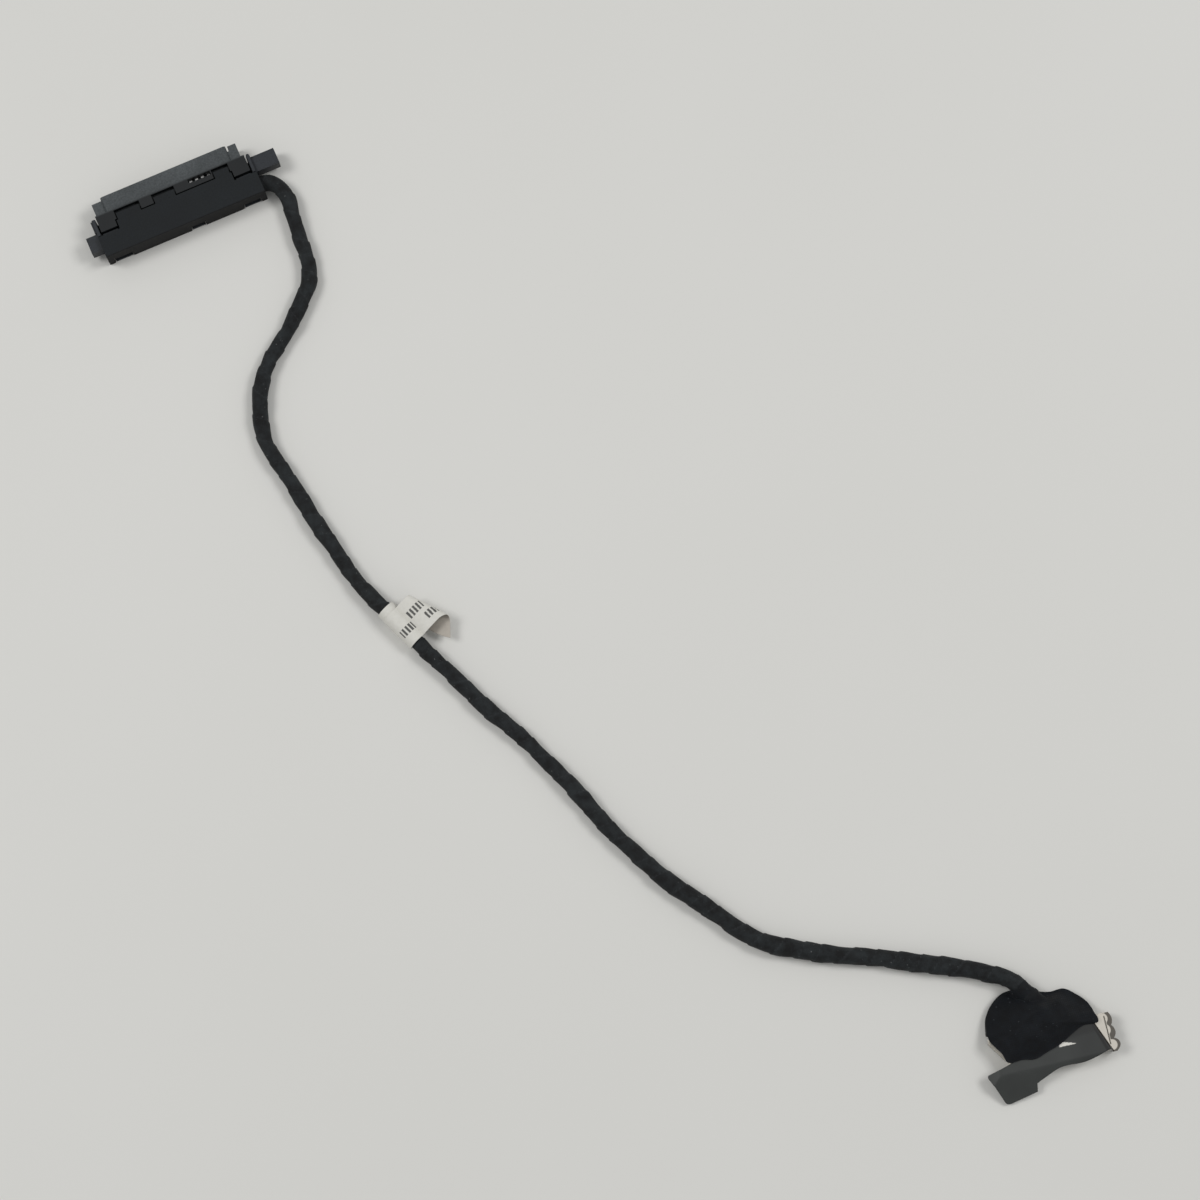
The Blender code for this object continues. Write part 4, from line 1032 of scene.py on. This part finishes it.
# The higher of the two heights, with a soft turn where they meet
top = 0.5 * (top + hug + np.sqrt((top - hug) ** 2 + HUG_BLEND))
step_up = rise(y, STEP_FROM, STEP_TO)
under = UNDER_CONNECTOR * (1 - step_up) + UNDER_WIRES * step_up
under = np.minimum(under + 0 * share, top - LEAST_TAPE)
upper_skin = np.stack([x, y, top], axis=-1)
lower_skin = np.stack([x, y, under], axis=-1)[::-1]
both_skins = np.concatenate([upper_skin, lower_skin])
pouch = skin("tape_pouch", to_board(both_skins), round_and_round=True, ends=True)
point_values(pouch, "lap", np.full(len(pouch.data.vertices), 0.5))
lay_map(
    pouch,
    np.r_[both_skins[..., 0].ravel(), 0.0, 0.0] * MM,
    np.r_[both_skins[..., 1].ravel(), 0.0, 0.0] * MM,
)
# Its tape is darker than the cable's, and its lap edges get no painted highlight
pouch_tape = cloth_tape(
    "pressed acetate tape", "#07090D", "#0E1217", "#0E1217", "#4A4E52", 0.7, 0.16
)
pouch.data.materials.append(pouch_tape)
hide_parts("fan_tape_pouch")
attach(pouch, "root")


# The end wrap. One more turn of the same tape round the cable where it goes into the pouch,
# pressed flush at its start, bunched into a lump at the bend and running on down into the pouch.
WRAP_BEFORE, WRAP_BEYOND = 3.2 * MM, 2.6 * MM
WRAP_FALL = 0.25
WRAP_RADIUS, WRAP_LUMP = 1.8 * MM, 0.24 * MM
WRAP_CREASE, WRAP_TAPER = 0.04 * MM, 0.25 * MM
WRAP_MAP_RADIUS = 2 * MM
at_end = distance > cable_length - WRAP_BEFORE
onward = np.linspace(0, WRAP_BEYOND, 14)[1:, None]
onward_line = line[-1] + onward * np.array([into[0], into[1], -WRAP_FALL])
wrap_line = np.vstack([line[at_end], onward_line])
wrap_sideways = np.vstack([sideways[at_end], np.repeat(sideways[-1:], len(onward), axis=0)])
wrap_above = np.vstack([above[at_end], np.repeat(above[-1:], len(onward), axis=0)])
wrap_distance = np.r_[distance[at_end], cable_length + onward[:, 0]]
wrap_share = np.linspace(0, 1, len(wrap_line))[:, None]
bunched = rise(wrap_share, 0.15, 0.5) * (1 - rise(wrap_share, 0.5, 0.85))
swollen = WRAP_RADIUS + WRAP_LUMP * bunched * (1 + 0.6 * np.sin(angle + 0.5))
swollen = swollen + WRAP_CREASE * np.sin(3 * angle + 4 * wrap_share)
swollen = swollen - WRAP_TAPER * rise(wrap_share, 0.7, 1.0)
wrapped = rings(wrap_line, wrap_sideways, wrap_above, swollen)
end_wrap = skin("end_wrap_tape", wrapped, round_and_round=True, ends=True)
point_values(end_wrap, "lap", np.full(len(end_wrap.data.vertices), 0.5))
lay_map(
    end_wrap,
    np.r_[(wrap_distance[:, None] + 0 * angle).ravel(), 0.0, 0.0],
    np.r_[(WRAP_MAP_RADIUS * angle + 0 * wrap_share).ravel(), 0.0, 0.0],
)
end_wrap.data.materials.append(
    cloth_tape("acetate tape at the pouch", "#0A0C0F", "#15181B", "#1E2124", "#5A5C5E", 0.78, 0.2)
)
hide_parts("end_wrap")
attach(end_wrap, "root")


# The pull tab. A stiff strip of dark polyester film, stuck to the steel cover and bent down past
# its front edge to a stepped free end, for pulling the connector off its header.

# Its sizes are in the board end's frame in millimetres. Each edge goes from right to left: the
# first five points are a curve, the last two the straight free end.
TAB_UPPER_EDGE = np.array(
    [
        (7.2, 2.1),
        (4.4, 2.2),
        (-0.5, 0.4),
        (-5.8, -0.9),
        (-10.2, -2.2),
        (-10.5, -2.3),
        (-14.9, -3.5),
    ]
)
TAB_LOWER_EDGE = np.array(
    [
        (9.5, -3.6),
        (4.3, -4.8),
        (-0.5, -4.8),
        (-4.2, -6.1),
        (-5.75, -6.8),
        (-5.9, -8.35),
        (-12.2, -9.65),
    ]
)
STEP_POINT = 5
FILM_CORNER = 0.6
FILM_TOP, FILM_LEAST = 3.45, 0.2
FRONT_BEND, LEFT_BEND = -3.7, -12.1
FALL, FALL_EASE = 0.56, 0.5
FILM_THICKNESS = 0.2 * MM
FILM_TONES = ("#2A2C2C", "#373A39")
FILM_IN_SHADE = "#0E0F11"
CREASE_HIGHLIGHT = "#D9D6CF"
upper_edge, lower_edge = (
    np.concatenate([smooth_line(edge[:STEP_POINT], 20), smooth_line(edge[STEP_POINT:], 44)])
    for edge in (TAB_UPPER_EDGE, TAB_LOWER_EDGE)
)
cross = np.linspace(0, 1, 61)[None, :, None]
to_free_end = np.linalg.norm(upper_edge - upper_edge[-1], axis=1)
width = np.linalg.norm(upper_edge - lower_edge, axis=1)
rounded = np.maximum(FILM_CORNER - to_free_end, 0)
both_sides = (FILM_CORNER - np.sqrt(FILM_CORNER**2 - rounded**2)) / width
cross = both_sides[:, None, None] + cross * (1 - 2 * both_sides)[:, None, None]
film_flat = upper_edge[:, None, :] * (1 - cross) + lower_edge[:, None, :] * cross
# It lies flat on the cover and falls away beyond its front and left edges, easing into the slope
film_x, film_y = film_flat[..., 0], film_flat[..., 1]
beyond = np.maximum(FRONT_BEND - film_y, LEFT_BEND - film_x)
beyond = np.maximum(beyond, 0)
droop = FALL * (np.sqrt(beyond**2 + FALL_EASE) - math.sqrt(FALL_EASE))
film_height = np.maximum(FILM_TOP - droop, FILM_LEAST)
film_grid = np.stack([film_x, film_y, film_height], axis=-1)
film = skin("film_pull_tab", to_board(film_grid), flip=True)
thick = film.modifiers.new("film", "SOLIDIFY")
thick.thickness = FILM_THICKNESS
thick.offset = 1.0

# A painted highlight along the fold where the film is bent under the pouch's edge, tapering to the
# right
CREASE_FROM, CREASE_TO, CREASE_TAPER = -0.15, 3.4, 3.5
CREASE_FOOT, CREASE_HEIGHT = -1.15, 1.05
taper = np.clip((CREASE_TO - film_x) / CREASE_TAPER, 0, 1) * (film_x > CREASE_FROM)
crease_highlight = (film_y > CREASE_FOOT) & (film_y < CREASE_FOOT + CREASE_HEIGHT * taper)
point_values(film, "crease_highlight", crease_highlight.ravel())

# Painted shade darkens the film beside the pouch's tape, towards its right end, and on the cut of
# that end
CUT_WIDTH = 0.45
by_tape = 0.7 * rise(film_y, -1.1, 0.9) * rise(film_x, -1.0, 1.0)
to_right = 0.35 * rise(film_x, 0.0, 5.0)
at_cut = np.linalg.norm(upper_edge - upper_edge[0], axis=1)[:, None] < CUT_WIDTH
darkened = np.maximum(np.maximum(by_tape, to_right), at_cut)
point_values(film, "darkened", darkened.ravel())
polyester, tree, shader = new_material("matt polyester film", "#2E3030", 0.48)
shader.inputs["Specular IOR Level"].default_value = 0.4
place = add(tree, "ShaderNodeTexCoord")
haze = add(
    tree,
    "ShaderNodeTexNoise",
    values={"Scale": 1 / (4 * MM), "Detail": 3.0},
    links={"Vector": (place, "Object")},
)
tone = add(
    tree,
    "ShaderNodeMix",
    settings={"data_type": "RGBA"},
    values={6: colour(FILM_TONES[0]), 7: colour(FILM_TONES[1])},
    links={0: (haze, "Fac")},
)
dark_at = add(tree, "ShaderNodeAttribute", settings={"attribute_name": "darkened"})
film_shaded = add(
    tree,
    "ShaderNodeMix",
    settings={"data_type": "RGBA"},
    values={7: colour(FILM_IN_SHADE)},
    links={0: (dark_at, "Fac"), 6: (tone, 2)},
)
# The pale streak at the fold is a painted highlight
crease_at = add(tree, "ShaderNodeAttribute", settings={"attribute_name": "crease_highlight"})
marked = add(
    tree,
    "ShaderNodeMix",
    settings={"data_type": "RGBA"},
    values={7: colour(CREASE_HIGHLIGHT)},
    links={0: (crease_at, "Fac"), 6: (film_shaded, 2)},
)
tree.links.new(marked.outputs[2], shader.inputs["Base Color"])
film.data.materials.append(polyester)
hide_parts("pull_tab")
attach(film, "root")


bpy.context.view_layer.update()
